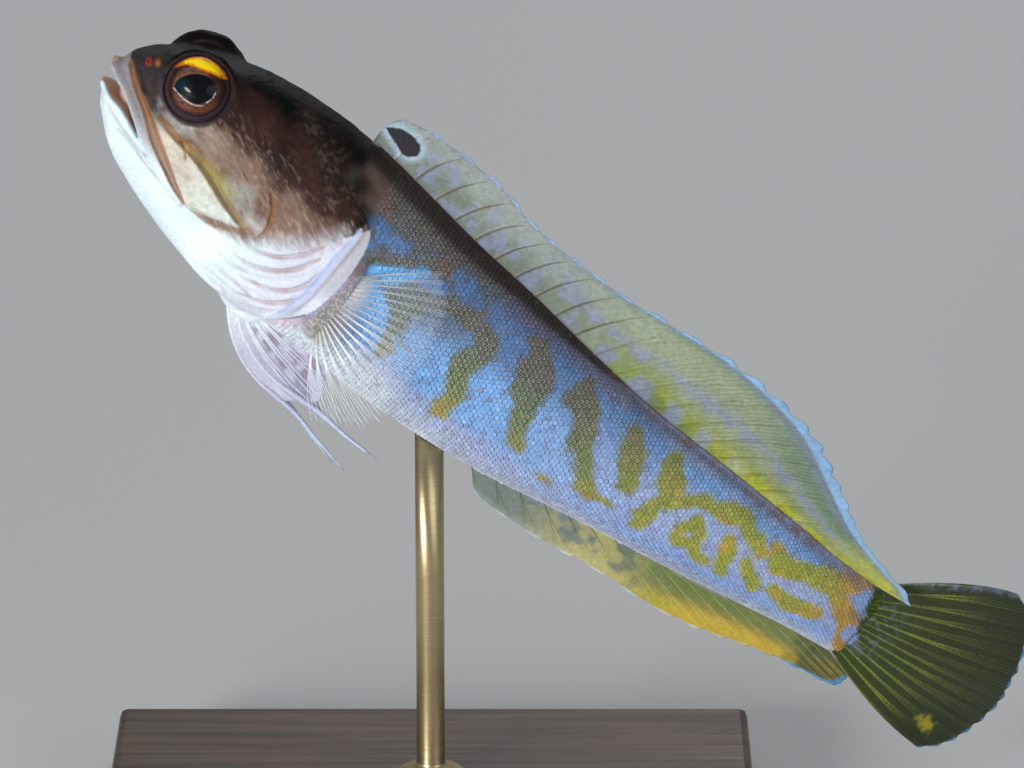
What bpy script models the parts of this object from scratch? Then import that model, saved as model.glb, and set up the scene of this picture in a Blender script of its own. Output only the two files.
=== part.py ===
"""A jawfish, still and life size, held over a plain display stand by one rod.

The fish is first modelled straight, in millimetres, in its own frame: s runs from the snout
to the tail, w to the fish's right and h up. pose() then bends it sideways, tips it head up and
lifts it over the stand. The part's origin is the middle of the stand's underside.
"""

import math

import bmesh
import bpy
import numpy as np
from mathutils import Vector

# Driving dimensions, in millimetres and degrees.
BODY_LENGTH = 92.0
PITCH = math.radians(38.3)
GAP = 0.3
METRE = 0.001

BASE_LENGTH = 64.0
BASE_WIDTH = 40.0
BASE_THICKNESS = 6.0
BASE_BEVEL = 0.8
ROD_RADIUS = 1.4
ROD_AT = 45.0
SNOUT_HEIGHT = 78.0

EYE_CENTRE = (6.0, 4.3, 4.65)
EYE_RADIUS = 3.0
EYE_DEPTH = 2.5
EYE_FORWARD = math.radians(10.0)
EYE_UP = math.radians(15.0)
ORBIT_RIM = 0.9

SHELL = 1.3
MAXILLA_SHELL = 0.9
MAXILLA_PROUD = 0.2
COVER_PROUD = 0.15
TRUNK_STEP = 0.45
LIP_RADIUS = 0.45
LIP_SUNK = 0.2
PLEAT_DEPTH = 0.3

MEMBRANE = 0.26
RAY = 0.5
RAY_TIP = 0.2


def smooth(points):
    """A curve through the points that never swings past them, as a function of the first number."""
    xs = np.array([p[0] for p in points], float)
    ys = np.array([p[1] for p in points], float)
    steps = np.diff(ys) / np.diff(xs)
    slopes = np.gradient(ys, xs)
    least = 3 * np.minimum(np.abs(steps[:-1]), np.abs(steps[1:]))
    slopes[1:-1] = np.clip(slopes[1:-1], -least, least)
    slopes[1:-1][steps[:-1] * steps[1:] <= 0] = 0.0

    def value(x):
        x = np.clip(np.asarray(x, float), xs[0], xs[-1])
        i = np.clip(np.searchsorted(xs, x, side="right") - 1, 0, len(xs) - 2)
        span = xs[i + 1] - xs[i]
        t = (x - xs[i]) / span
        rise = ys[i + 1] - ys[i]
        bend = t * (1 - t)
        start = slopes[i] * span - rise
        end = rise - slopes[i + 1] * span
        return ys[i] + rise * t + bend * (start * (1 - t) + end * t)

    return value


# The body's outlines from the side and from above, as (s, size).
BACK = smooth((
    (-1.0, 1.5), (-0.4, 2.7), (0.6, 4.0), (2, 5.2), (4, 6.3), (6, 7.3), (9, 8.6), (12, 9.4),
    (16, 10.0), (20, 10.2), (24, 10.0), (30, 9.3), (36, 8.5), (44, 7.8), (52, 6.8), (60, 5.9),
    (70, 5.4), (80, 4.6), (86, 4.0), (92, 4.0),
))
BELLY = smooth((
    (-1.0, -2.2), (-0.4, -3.1), (0.6, -4.0), (2, -5.3), (4, -6.6), (6, -7.4), (9, -8.4),
    (13, -9.5), (18, -10.4), (23, -10.6), (30, -10.2), (40, -9.9), (50, -8.9), (55, -8.0),
    (60, -7.1), (66, -6.3), (72, -5.6), (80, -4.6), (86, -4.0), (92, -3.8),
))
HALF_WIDTH = smooth((
    (-1.0, 1.6), (-0.4, 2.5), (0.6, 3.3), (2, 4.0), (4, 4.8), (6, 5.4), (9, 6.1), (12, 6.5),
    (18, 7.1), (24, 7.5), (28, 7.4), (34, 6.8), (42, 6.4), (52, 5.6), (62, 4.6), (72, 3.5),
    (82, 2.4), (88, 1.8), (92, 1.4),
))
WIDEST = smooth(((-1.0, 0.0), (8, -1.0), (20, -2.0), (32, -1.2), (50, -1.0), (70, -0.4), (92, 0.1)))
ROUNDNESS = smooth(((-1.0, 2.5), (6, 2.3), (20, 2.25), (35, 2.1), (92, 2.0)))

# The angle that the spine makes with the line of the stand, along the body.
HEADING = smooth((
    (-6, -2), (12, -2), (30, -6), (45, -3), (60, 3), (75, 9), (92, 17), (104, 28), (118, 34),
))

# How far the head is held up out of line with the trunk.
NOD = smooth(((-6, 0.8), (0, 0.6), (24, 0), (118, 0)))

# The line of the mouth from the snout to its corner, and the grooves round the upper jaw.
MOUTH = smooth((
    (-2.2, 0.3), (0.6, -0.3), (4.3, -2.3), (8.2, -4.0), (12.6, -4.7), (15, -4.7), (18.2, -4.2),
    (20.6, -3.5), (24, -4.8), (27.8, -5.3), (32, -5.6),
))
MOUTH_CORNER = 20.6
MOUTH_GAPE = smooth(((-2.2, 2.8), (0.0, 2.1), (4.3, 0.7), (7, GAP), (32, GAP)))
PREMAXILLA_GROOVE = (
    (3.2, 1.2), (4.3, -0.2), (6.2, -1.4), (8.1, -2.5), (10, -3.4), (12.5, -4.7), (14, -6.5),
)
CHEEK_GROOVE = (
    (20.6, -6.5), (20.3, -3.7), (19.7, -3.0), (18.3, -2.7), (14.3, -1.4), (11.2, -0.3),
    (9.5, 0.2), (7.1, 0.3), (5.7, 0.6),
)
JAW_JOINT = ((21.0, -2.6), (19.2, -5.8), (16.6, -8.8), (13.6, -12.5))
COVER_EDGE = (
    (21.3, -7.5), (21.0, -3.0), (20.7, -1.6), (20.0, 0.0), (19.2, 2.0), (19.6, 4.2), (21.7, 5.6),
    (25.0, 6.0), (31.0, 5.6),
)
GILL_OPENING = (
    (20.4, 13.0), (24.3, 7.6), (27.5, 4.6), (28.3, 1.0), (28.1, -2.5), (27.3, -5.7),
    (24.8, -8.7), (21.3, -11.2), (20.0, -13.0),
)
TAIL_CUT = 50.0
NOSTRIL = (1.4, 2.7, 4.4)

# Stations where the body's sections stand.
HEAD_STATIONS = (
    -1.0, -0.5, 0.2, 1.2, 2.5, 4.0, 5.8, 7.6, 9.5, 11.5, 14, 16.5, 19, 21.5, 24, 26.5, 29.5,
)
TRUNK_STATIONS = (19.0, 22, 25, 28, 31, 34, 37.5, 41, 45, 49, 53, 57, 61, 65, 69, 73, 77, 81, 85, 89, 92)
HEAD_COLUMNS = 40
TRUNK_COLUMNS = 28

DORSAL_BASE = (22.6, 89.2)
DORSAL_RAYS = 26
ANAL_BASE = (49.8, 90.4)
ANAL_RAYS = 17
CAUDAL_RAYS = 14
PECTORAL_RAYS = 19
PELVIC_RAYS = 5


def lerp(a, b, t):
    return a + (b - a) * t


def spine_table():
    """Where the spine runs, seen from above, at every half millimetre of the fish."""
    steps = np.arange(-6.0, 118.0, 0.5)
    angles = np.radians(HEADING(steps))
    x = np.concatenate(([0.0], np.cumsum(np.cos(angles[:-1]) * 0.5)))
    y = np.concatenate(([0.0], np.cumsum(np.sin(angles[:-1]) * 0.5)))
    x -= np.interp(0.0, steps, x)
    y -= np.interp(0.0, steps, y)
    return steps, x, y


SPINE = spine_table()


def tipped(points):
    """Points of the straight fish, bent and tipped head up, with the snout at zero."""
    s, w, h = np.asarray(points, float).reshape(-1, 3).T
    h = h + NOD(s)
    steps, along, aside = SPINE
    angle = np.radians(HEADING(s))
    x = np.interp(s, steps, along) - w * np.sin(angle)
    y = np.interp(s, steps, aside) + w * np.cos(angle)
    tipped_x = x * math.cos(PITCH) + h * math.sin(PITCH)
    tipped_z = h * math.cos(PITCH) - x * math.sin(PITCH)
    return np.column_stack((tipped_x, y, tipped_z))


ROD_FOOT = tipped([(ROD_AT, 0.0, float(BELLY(ROD_AT)))])[0]


def pose(points):
    """Points of the straight fish, set over the stand, still in millimetres."""
    placed = tipped(points)
    placed[:, 0] -= ROD_FOOT[0]
    placed[:, 1] -= ROD_FOOT[1]
    placed[:, 2] += SNOUT_HEIGHT
    return placed


def flank(s, h, inset=0.0):
    """The half width of the body at a height."""
    middle = WIDEST(s)
    reach = np.where(h > middle, BACK(s) - inset - middle, middle - BELLY(s) - inset)
    rise = np.clip(np.abs(h - middle) / reach, 0, 1)
    power = ROUNDNESS(s)
    return (HALF_WIDTH(s) - inset) * (1 - rise**power) ** (1 / power)


def section(s, columns, inset=0.0, pleats=0.0):
    """The corners of the body's section at s, from the back round by the fish's right."""
    middle = float(WIDEST(s))
    power = 2.0 / float(ROUNDNESS(s))
    points = []
    for j in range(columns):
        angle = 2 * math.pi * j / columns
        up = math.copysign(abs(math.cos(angle)) ** power, math.cos(angle))
        out = math.copysign(abs(math.sin(angle)) ** power, math.sin(angle))
        reach = float(BACK(s)) - middle if up > 0 else middle - float(BELLY(s))
        low = -math.cos(angle)
        folded = pleats * PLEAT_DEPTH if 0.35 < low < 0.97 and j % 2 else 0.0
        shrink = inset + folded
        points.append((
            s,
            out * (float(HALF_WIDTH(s)) - shrink),
            middle + up * (reach - shrink),
        ))
    return points


def made(name, mesh):
    """A new object that holds the mesh."""
    item = bpy.data.objects.new(name, mesh)
    bpy.context.scene.collection.objects.link(item)
    return item


def closed_mesh(name, bm):
    """A mesh from bm, with all its faces pointing out."""
    bmesh.ops.recalc_face_normals(bm, faces=bm.faces)
    mesh = bpy.data.meshes.new(name)
    bm.to_mesh(mesh)
    bm.free()
    return mesh


def loft(name, rings):
    """A closed solid through rings of equal length, with flat ends."""
    bm = bmesh.new()
    rows = [[bm.verts.new(p) for p in ring] for ring in rings]
    count = len(rows[0])
    for near, far in zip(rows, rows[1:]):
        for j in range(count):
            k = (j + 1) % count
            bm.faces.new((near[j], near[k], far[k], far[j]))
    bm.faces.new(rows[0])
    bm.faces.new(rows[-1])
    return made(name, closed_mesh(name, bm))


def body(name, stations, columns, inset=0.0, step=0.0, pleated=False):
    """The body along some stations. step sinks the front edge, and fades over 6 mm."""
    rings = []
    for s in stations:
        sunk = step * max(0.0, 1 - max(0.0, s - 28.0) / 7.0)
        pleats = 1.0 if pleated and 12.0 < s < 27.5 else 0.0
        rings.append(section(s, columns, inset + sunk, pleats))
    return loft(name, rings)


def prism(name, outline, low, high):
    """An outline in the side view, as (s, h), made solid from w = low to w = high."""
    curve = bpy.data.curves.new(name, "CURVE")
    curve.dimensions = "2D"
    curve.fill_mode = "BOTH"
    curve.extrude = (high - low) / 2
    spline = curve.splines.new("POLY")
    spline.points.add(len(outline) - 1)
    for point, (s, h) in zip(spline.points, outline):
        point.co = (s, h, 0, 1)
    spline.use_cyclic_u = True
    drawn = made(name, curve)
    solid = made(name, mesh_of(drawn))
    bpy.data.objects.remove(drawn)
    middle = (low + high) / 2
    for vertex in solid.data.vertices:
        s, h, depth = vertex.co
        vertex.co = (s, middle + depth, h)
    weld(solid)
    return solid


def mesh_of(item):
    """The object's shape with its modifiers, as a new mesh."""
    depsgraph = bpy.context.evaluated_depsgraph_get()
    return bpy.data.meshes.new_from_object(item.evaluated_get(depsgraph))


def weld(item):
    """Joins the caps of a shape to its sides and turns its faces out."""
    bm = bmesh.new()
    bm.from_mesh(item.data)
    bmesh.ops.remove_doubles(bm, verts=bm.verts, dist=0.0005)
    bmesh.ops.recalc_face_normals(bm, faces=bm.faces)
    bm.to_mesh(item.data)
    bm.free()


def combine(item, other, operation, keep=False):
    """Cuts item by other, joins them or keeps what they share. other goes, unless kept."""
    change = item.modifiers.new("combine", "BOOLEAN")
    change.operation = operation
    change.solver = "EXACT"
    change.object = other
    item.data = mesh_of(item)
    item.modifiers.clear()
    if not keep:
        bpy.data.objects.remove(other)
    return item


def copy_of(item, name):
    return made(name, item.data.copy())


def pieces(item):
    """The separate closed bodies of an object, largest first, as vertex lists."""
    bm = bmesh.new()
    bm.from_mesh(item.data)
    unseen = set(bm.verts)
    found = []
    while unseen:
        group = set()
        edge = [unseen.pop()]
        while edge:
            vertex = edge.pop()
            group.add(vertex)
            for link in vertex.link_edges:
                other = link.other_vert(vertex)
                if other in unseen:
                    unseen.remove(other)
                    edge.append(other)
        found.append(group)
    found.sort(key=len, reverse=True)
    spots = [[tuple(v.co) for v in group] for group in found]
    bm.free()
    return spots


def keep_piece(item, wanted=None):
    """Keeps one closed body: the one that reaches nearest to wanted, or the largest."""
    found = pieces(item)
    if wanted is None:
        chosen = found[0]
    else:
        chosen = min(
            (group for group in found if len(group) > 12),
            key=lambda group: np.linalg.norm(np.mean(group, axis=0) - np.array(wanted)),
        )
    kept = {tuple(round(c, 5) for c in spot) for spot in chosen}
    bm = bmesh.new()
    bm.from_mesh(item.data)
    loose = [v for v in bm.verts if tuple(round(c, 5) for c in v.co) not in kept]
    bmesh.ops.delete(bm, geom=loose, context="VERTS")
    bm.to_mesh(item.data)
    bm.free()
    return item


def aside(line, distance):
    """A line in the side view, moved to its left by distance."""
    line = np.asarray(line, float)
    run = np.gradient(line, axis=0)
    run /= np.linalg.norm(run, axis=1)[:, None]
    return line + np.column_stack((-run[:, 1], run[:, 0])) * distance


def grown(outline, distance):
    """A closed outline in the side view, made larger by distance on every side."""
    spots = np.asarray(outline, float)
    ahead = np.roll(spots, -1, axis=0) - spots
    ahead /= np.linalg.norm(ahead, axis=1)[:, None]
    behind = np.roll(ahead, 1, axis=0)
    x, y = spots.T
    area = np.sum(x * np.roll(y, -1) - np.roll(x, -1) * y) / 2
    turn = math.copysign(1.0, area)
    normals = turn * np.column_stack((ahead[:, 1], -ahead[:, 0]))
    before = turn * np.column_stack((behind[:, 1], -behind[:, 0]))
    middle = normals + before
    middle /= np.linalg.norm(middle, axis=1)[:, None]
    reach = distance / np.clip(np.sum(middle * normals, axis=1), 0.45, 1.0)
    return list(map(tuple, spots + middle * reach[:, None]))


def ribbon(line, widths):
    """The outline of a cut along a line in the side view."""
    line = np.asarray(line, float)
    half = np.asarray(widths, float) / 2
    run = np.gradient(line, axis=0)
    run /= np.linalg.norm(run, axis=1)[:, None]
    across = np.column_stack((-run[:, 1], run[:, 0])) * half[:, None]
    return list(map(tuple, line + across)) + list(map(tuple, (line - across)[::-1]))


def mouth_cut():
    """The cut that parts the jaw and throat from the head, open at the front."""
    s = np.concatenate((np.linspace(-2.2, MOUTH_CORNER, 13), (22.5, 25, 28, 32)))
    return prism("mouth cut", ribbon(np.column_stack((s, MOUTH(s))), MOUTH_GAPE(s)), -12, 12)


def rounded_ball(name, centre, radius, depth, side, steps=(20, 10)):
    """A flattened ball whose short axis points out of the orbit, on one side."""
    bm = bmesh.new()
    bmesh.ops.create_uvsphere(bm, u_segments=steps[0], v_segments=steps[1], radius=1.0)
    out = Vector((
        -math.sin(EYE_FORWARD),
        side * math.cos(EYE_FORWARD) * math.cos(EYE_UP),
        math.cos(EYE_FORWARD) * math.sin(EYE_UP),
    ))
    turn = out.to_track_quat("Z", "Y").to_matrix()
    middle = Vector((centre[0], side * centre[1], centre[2]))
    for vertex in bm.verts:
        local = Vector((vertex.co.x * radius, vertex.co.y * radius, vertex.co.z * depth))
        vertex.co = turn @ local + middle
    mesh = bpy.data.meshes.new(name)
    bm.to_mesh(mesh)
    bm.free()
    return made(name, mesh)


def tube(name, path, radius, resolution=1):
    """A round strip along a path of the straight fish."""
    curve = bpy.data.curves.new(name, "CURVE")
    curve.dimensions = "3D"
    curve.bevel_depth = radius
    curve.bevel_resolution = resolution
    curve.use_fill_caps = True
    spline = curve.splines.new("POLY")
    spline.points.add(len(path) - 1)
    for point, spot in zip(spline.points, path):
        point.co = (*spot, 1)
    drawn = made(name, curve)
    solid = made(name, mesh_of(drawn))
    bpy.data.objects.remove(drawn)
    weld(solid)
    return solid


def lip(name, way):
    """A lip along the mouth, above its line where way is 1 and below it where way is -1."""
    stations = (13.5, 11.5, 9.5, 7.5, 5.5, 3.8, 2.2, 0.8, -0.1)
    half = []
    for s in stations:
        h = float(MOUTH(s)) + way * (float(MOUTH_GAPE(s)) / 2 + LIP_RADIUS * 0.8)
        half.append((s, float(flank(s, h)) - LIP_SUNK, h))
    front = half[-1][2]
    left = [(s, -w, h) for s, w, h in half]
    tip = [(-0.8, -1.6, front), (-1.1, 0.0, front), (-0.8, 1.6, front)]
    return tube(name, left + tip + half[::-1], LIP_RADIUS)


def head_parts():
    """The head, jaw, throat, gill covers, jaw plates and eyes, all from one block."""
    block = body("head", HEAD_STATIONS, HEAD_COLUMNS, pleated=True)
    for side in (-1, 1):
        rim = rounded_ball("orbit", EYE_CENTRE, EYE_RADIUS + ORBIT_RIM, EYE_DEPTH, side)
        combine(block, rim, "UNION")
    combine(block, lip("upper lip", 1), "UNION")
    combine(block, lip("lower lip", -1), "UNION")
    behind = list(GILL_OPENING) + [(40, -13), (40, 13)]
    combine(block, prism("behind", behind, -12, 12), "DIFFERENCE")
    combine(block, mouth_cut(), "DIFFERENCE")
    joint = ribbon(JAW_JOINT, [GAP] * len(JAW_JOINT))
    lower = copy_of(block, "below the mouth")
    upper = keep_piece(block, (12, 0, 3))
    combine(lower, prism("joint", joint, -12, 12), "DIFFERENCE")
    jaw = keep_piece(copy_of(lower, "lower_jaw"), (9, 0, -7))
    throat = keep_piece(copy_of(lower, "throat"), (21, 0, -8.5))
    bpy.data.objects.remove(lower)
    parts = [upper, jaw, throat]
    core = body("core", HEAD_STATIONS, HEAD_COLUMNS, inset=SHELL + GAP)
    thin_core = body("thin core", HEAD_STATIONS, HEAD_COLUMNS, inset=MAXILLA_SHELL + GAP)
    cover_zone = list(COVER_EDGE) + [(31, -7.5)]
    wide_cover = grown(cover_zone, GAP)
    plate_zone = PREMAXILLA_GROOVE + CHEEK_GROOVE
    wide_plate = grown(plate_zone, GAP)
    for side, word in ((-1, "left"), (1, "right")):
        low, high = sorted((0.0, side * 12.0))
        cover = body(f"gill_cover_{word}", HEAD_STATIONS, HEAD_COLUMNS, inset=-COVER_PROUD)
        combine(cover, prism("zone", cover_zone, low, high), "INTERSECT")
        inner = body("inner", HEAD_STATIONS, HEAD_COLUMNS, inset=SHELL)
        combine(cover, inner, "DIFFERENCE")
        combine(cover, prism("behind", behind, -12, 12), "DIFFERENCE")
        combine(cover, mouth_cut(), "DIFFERENCE")
        parts.append(keep_piece(cover, (24, side * 7, 0)))
        pocket = prism("pocket", wide_cover, low, high)
        combine(pocket, core, "DIFFERENCE", keep=True)
        combine(upper, pocket, "DIFFERENCE")
        plate = body(f"maxilla_{word}", HEAD_STATIONS, HEAD_COLUMNS, inset=-MAXILLA_PROUD)
        combine(plate, prism("zone", plate_zone, low, high), "INTERSECT")
        inner = body("inner", HEAD_STATIONS, HEAD_COLUMNS, inset=MAXILLA_SHELL)
        combine(plate, inner, "DIFFERENCE")
        combine(plate, mouth_cut(), "DIFFERENCE")
        parts.append(keep_piece(plate, (12, side * 5.5, -2)))
        pocket = prism("pocket", wide_plate, low, high)
        combine(pocket, thin_core, "DIFFERENCE", keep=True)
        combine(upper, pocket, "DIFFERENCE")
        socket = rounded_ball(
            "socket", EYE_CENTRE, EYE_RADIUS + GAP, EYE_DEPTH + GAP, side, steps=(24, 12),
        )
        combine(upper, socket, "DIFFERENCE")
        nostril = tube("nostril", nostril_path(side), 0.3)
        combine(upper, nostril, "DIFFERENCE")
        parts.append(rounded_ball(f"eye_{word}", EYE_CENTRE, EYE_RADIUS, EYE_DEPTH, side))
    bpy.data.objects.remove(core)
    bpy.data.objects.remove(thin_core)
    keep_piece(upper)
    return parts


def nostril_path(side):
    """A short bore into the snout in front of the eye."""
    s, w, h = NOSTRIL
    return [(s + 0.3, side * (w - 0.4), h - 0.4), (s - 0.8, side * (w + 1.2), h + 1.2)]


def trunk_parts():
    """The trunk and the tail, parted behind the vent."""
    whole = body("trunk", TRUNK_STATIONS, TRUNK_COLUMNS, step=TRUNK_STEP)
    opening = aside(GILL_OPENING, GAP)
    ahead = list(map(tuple, opening)) + [(10, -13), (10, 13)]
    combine(whole, prism("ahead", ahead, -12, 12), "DIFFERENCE")
    half = GAP / 2
    cut = [(TAIL_CUT - half, -14), (TAIL_CUT + half, -14), (TAIL_CUT + half, 14), (TAIL_CUT - half, 14)]
    combine(whole, prism("tail cut", cut, -12, 12), "DIFFERENCE")
    tail = keep_piece(copy_of(whole, "tail"), (70, 0, 0))
    return [keep_piece(whole, (35, 0, 0)), tail]


def slab(name, middle, across, half):
    """A closed sheet about a grid of points, split into triangles alike on both faces.

    middle and across are grids of points and of unit directions, half is a grid of half
    thicknesses. The grid runs [column][row]."""
    bm = bmesh.new()
    front = middle + across * half[..., None]
    back = middle - across * half[..., None]
    columns, rows = half.shape
    faces = [[[bm.verts.new(grid[i, j]) for j in range(rows)] for i in range(columns)] for grid in (front, back)]
    near, far = faces
    for i in range(columns - 1):
        for j in range(rows - 1):
            for grid, turn in ((near, 1), (far, -1)):
                a, b, c, d = grid[i][j], grid[i + 1][j], grid[i + 1][j + 1], grid[i][j + 1]
                bm.faces.new((a, b, c)[::turn])
                bm.faces.new((a, c, d)[::turn])
    rim = [(i, 0) for i in range(columns)]
    rim += [(columns - 1, j) for j in range(1, rows)]
    rim += [(i, rows - 1) for i in range(columns - 2, -1, -1)]
    rim += [(0, j) for j in range(rows - 2, 0, -1)]
    for (i, j), (k, m) in zip(rim, rim[1:] + rim[:1]):
        bm.faces.new((near[i][j], far[i][j], far[k][m]))
        bm.faces.new((near[i][j], far[k][m], near[k][m]))
    return made(name, closed_mesh(name, bm))


def ray_columns(rays, shoulder):
    """Where a fin's columns stand, in ray pitches, and how much ridge each carries.

    Each ray has its crest at a whole number. A shoulder, if any, stands on either side of it."""
    spots = []
    for ray in range(rays):
        spots.append((float(ray), "crest"))
        if ray < rays - 1:
            if shoulder:
                spots.append((ray + shoulder, "shoulder"))
            spots.append((ray + 0.5, "web"))
            if shoulder:
                spots.append((ray + 1 - shoulder, "shoulder"))
    return spots


def straight(place, way):
    return np.zeros(3)


def fin(
    name, rays, root, tip, across, rows, branch=2.0, notch=0.93, shoulder=0.22, ray=RAY, bow=straight,
):
    """A fin whose rays are ridges in its own surface.

    root, tip and across give a point or direction for a place along the fin in ray pitches.
    From branch on, as a share of a ray's length, the ridge forks into its two shoulders.
    notch is how far the web reaches between two rays, and bow bends a ray off its chord."""
    spots = ray_columns(rays, shoulder)
    shares = np.linspace(0, 1, rows)
    middle = np.zeros((len(spots), rows, 3))
    sideways = np.zeros_like(middle)
    half = np.zeros((len(spots), rows))
    for i, (place, kind) in enumerate(spots):
        start, end = np.array(root(place)), np.array(tip(place))
        cut = notch(place) if callable(notch) else notch
        reach = {"crest": 1.0, "shoulder": 1 - (1 - cut) * 0.3, "web": cut}[kind]
        for j, share in enumerate(shares):
            way = share * reach
            middle[i, j] = lerp(start, end, way) + bow(place, way)
            sideways[i, j] = across(place)
            forked = share > branch
            thick = {"crest": not forked, "shoulder": forked, "web": False}[kind]
            full = ray if thick else MEMBRANE
            half[i, j] = lerp(full, min(full, RAY_TIP), share**1.5)
    return slab(name, middle, sideways, half)


# The fins' free edges as (s, h), and how steeply their rays leave the body, in degrees.
DORSAL_EDGE = smooth((
    (22.6, 12.2), (23.4, 13.7), (24.6, 14.2), (29, 14.7), (34, 14.8), (40, 13.8), (50, 13.5),
    (56, 14.2), (64, 14.9), (70, 14.4), (76, 12.9), (81, 10.2), (86, 7.4), (91, 5.9),
    (94.4, 5.2), (95.4, 4.0),
))
DORSAL_SLANT = smooth((
    (22.6, 76), (27, 64), (32, 56), (46, 54), (54, 46), (60, 39), (68, 31), (76, 24), (84, 16),
    (89.2, 9),
))
# The rear tip of the dorsal fin lies beside the tail fin, on the fish's left.
DORSAL_LEAN = smooth(((22.6, 0), (79, 0), (84, -0.7), (87, -1.6), (89.2, -2.0)))
ANAL_EDGE = smooth((
    (49.8, -10.0), (51.5, -11.1), (54, -11.4), (60, -11.2), (66, -10.4), (74, -10.1), (80, -9.4),
    (86, -8.0), (91, -7.3), (94.6, -6.9), (95.5, -5.6), (96.2, -3.0),
))
ANAL_SLANT = smooth(((49.8, 48), (53, 40), (57, 31), (62, 23), (70, 16), (80, 12), (90.4, 16)))
CAUDAL_LENGTH = smooth((
    (0, 14.4), (0.12, 17.6), (0.3, 19.4), (0.45, 20.5), (0.62, 21.8), (0.75, 21.2), (0.9, 19.2),
    (1, 17.0),
))
CAUDAL_ANGLE = smooth((
    (0, 28), (0.12, 20), (0.3, 11), (0.45, 4), (0.62, -2), (0.75, -7.5), (0.9, -13), (1, -17),
))
CAUDAL_BOW = smooth(((0, 1.6), (0.15, 0.7), (0.5, 0), (0.85, -0.3), (1, -0.8)))
RAY_STEP = 0.05


def along_base(base, rays, place):
    return lerp(base[0], base[1], place / (rays - 1))


def meet(start, slant, edge, way):
    """Where a ray meets its fin's free edge, above the body for way 1 or below it for -1."""
    s, w, h = start
    angle = math.radians(slant)
    length = RAY_STEP
    while way * float(edge(s + length * math.cos(angle))) > way * h + length * math.sin(angle):
        length += RAY_STEP
    return (s + length * math.cos(angle), w, h + way * length * math.sin(angle))


def dorsal_fin():
    def root(place):
        s = along_base(DORSAL_BASE, DORSAL_RAYS, place)
        return (s, 0.0, float(BACK(s)) + GAP)

    def tip(place):
        start = root(place)
        s, w, h = meet(start, float(DORSAL_SLANT(start[0])), DORSAL_EDGE, 1)
        return (s, w + float(DORSAL_LEAN(start[0])), h)

    return fin("dorsal_fin", DORSAL_RAYS, root, tip, lambda place: (0, 1, 0), 5, branch=0.7, notch=0.93)


def anal_fin():
    def root(place):
        s = along_base(ANAL_BASE, ANAL_RAYS, place)
        return (s, 0.0, float(BELLY(s)) - GAP)

    def tip(place):
        start = root(place)
        return meet(start, float(ANAL_SLANT(start[0])), ANAL_EDGE, -1)

    return fin("anal_fin", ANAL_RAYS, root, tip, lambda place: (0, 1, 0), 5, branch=0.6, notch=0.94)


def caudal_fin():
    def root(place):
        share = place / (CAUDAL_RAYS - 1)
        return (BODY_LENGTH + GAP, 0.0, lerp(3.9, -3.8, share))

    def tip(place):
        share = place / (CAUDAL_RAYS - 1)
        s, w, h = root(place)
        angle = math.radians(float(CAUDAL_ANGLE(share)))
        length = float(CAUDAL_LENGTH(share))
        return (s + length * math.cos(angle), w, h + length * math.sin(angle))

    def bow(place, way):
        return np.array((0.0, 0.0, 4 * float(CAUDAL_BOW(place / (CAUDAL_RAYS - 1))) * way * (1 - way)))

    return fin(
        "caudal_fin", CAUDAL_RAYS, root, tip, lambda place: (0, 1, 0), 7, branch=0.4, notch=0.97, ray=0.6,
        bow=bow,
    )


PECTORAL_TOP = (29.3, 1.2)
PECTORAL_FOOT = (29.6, -6.6)
PECTORAL_LENGTH = smooth(((0, 7.0), (0.2, 7.6), (0.4, 8.4), (0.6, 9.4), (0.8, 10.4), (1, 7.2)))
PECTORAL_FAN = smooth(((0, 62), (0.2, 40), (0.4, 20), (0.6, 4), (0.8, -10), (1, -26)))
PECTORAL_FLARE = smooth(((0, 12), (0.5, 17), (1, 24)))


def pectoral_fin(side, word):
    def root(place):
        share = place / (PECTORAL_RAYS - 1)
        s = lerp(PECTORAL_TOP[0], PECTORAL_FOOT[0], share)
        h = lerp(PECTORAL_TOP[1], PECTORAL_FOOT[1], share)
        return (s, side * (float(flank(s, h)) + GAP + 0.35), h)

    def tip(place):
        share = place / (PECTORAL_RAYS - 1)
        s, w, h = root(place)
        fan = math.radians(float(PECTORAL_FAN(share)))
        flare = math.radians(float(PECTORAL_FLARE(share)))
        length = float(PECTORAL_LENGTH(share))
        return (
            s + length * math.cos(flare) * math.cos(fan),
            w + side * length * math.sin(flare),
            h + length * math.cos(flare) * math.sin(fan),
        )

    def across(place):
        share = place / (PECTORAL_RAYS - 1)
        flare = math.radians(float(PECTORAL_FLARE(share)))
        fan = math.radians(float(PECTORAL_FAN(share)))
        return (-math.sin(flare) * math.cos(fan), side * math.cos(flare), -math.sin(flare) * math.sin(fan))

    return fin(
        f"pectoral_fin_{word}", PECTORAL_RAYS, root, tip, across, 5, notch=0.92, shoulder=None, ray=0.42,
    )


# The tips of the pelvic rays in the side view, front to back, and how far each ray bows down.
PELVIC_TIP_S = smooth(((0, 40.3), (1, 42.2), (2, 35.2), (3, 33.4), (4, 32.6)))
PELVIC_TIP_H = smooth(((0, -16.3), (1, -13.4), (2, -12.6), (3, -11.4), (4, -10.2)))
PELVIC_BOW = smooth(((0, 0.8), (1, 1.1), (2, 0.6), (3, 0.35), (4, 0.2)))
PELVIC_WEB = smooth(((0, 0.66), (1, 0.68), (2, 0.86), (3, 0.92), (4, 0.92)))
PELVIC_BASE = (21.2, 23.6)
PELVIC_APART = 1.3
PELVIC_SPLAY = {-1: math.radians(7.0), 1: math.radians(2.0)}
PELVIC_DROP = {-1: 0.0, 1: math.radians(6.0)}


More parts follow.
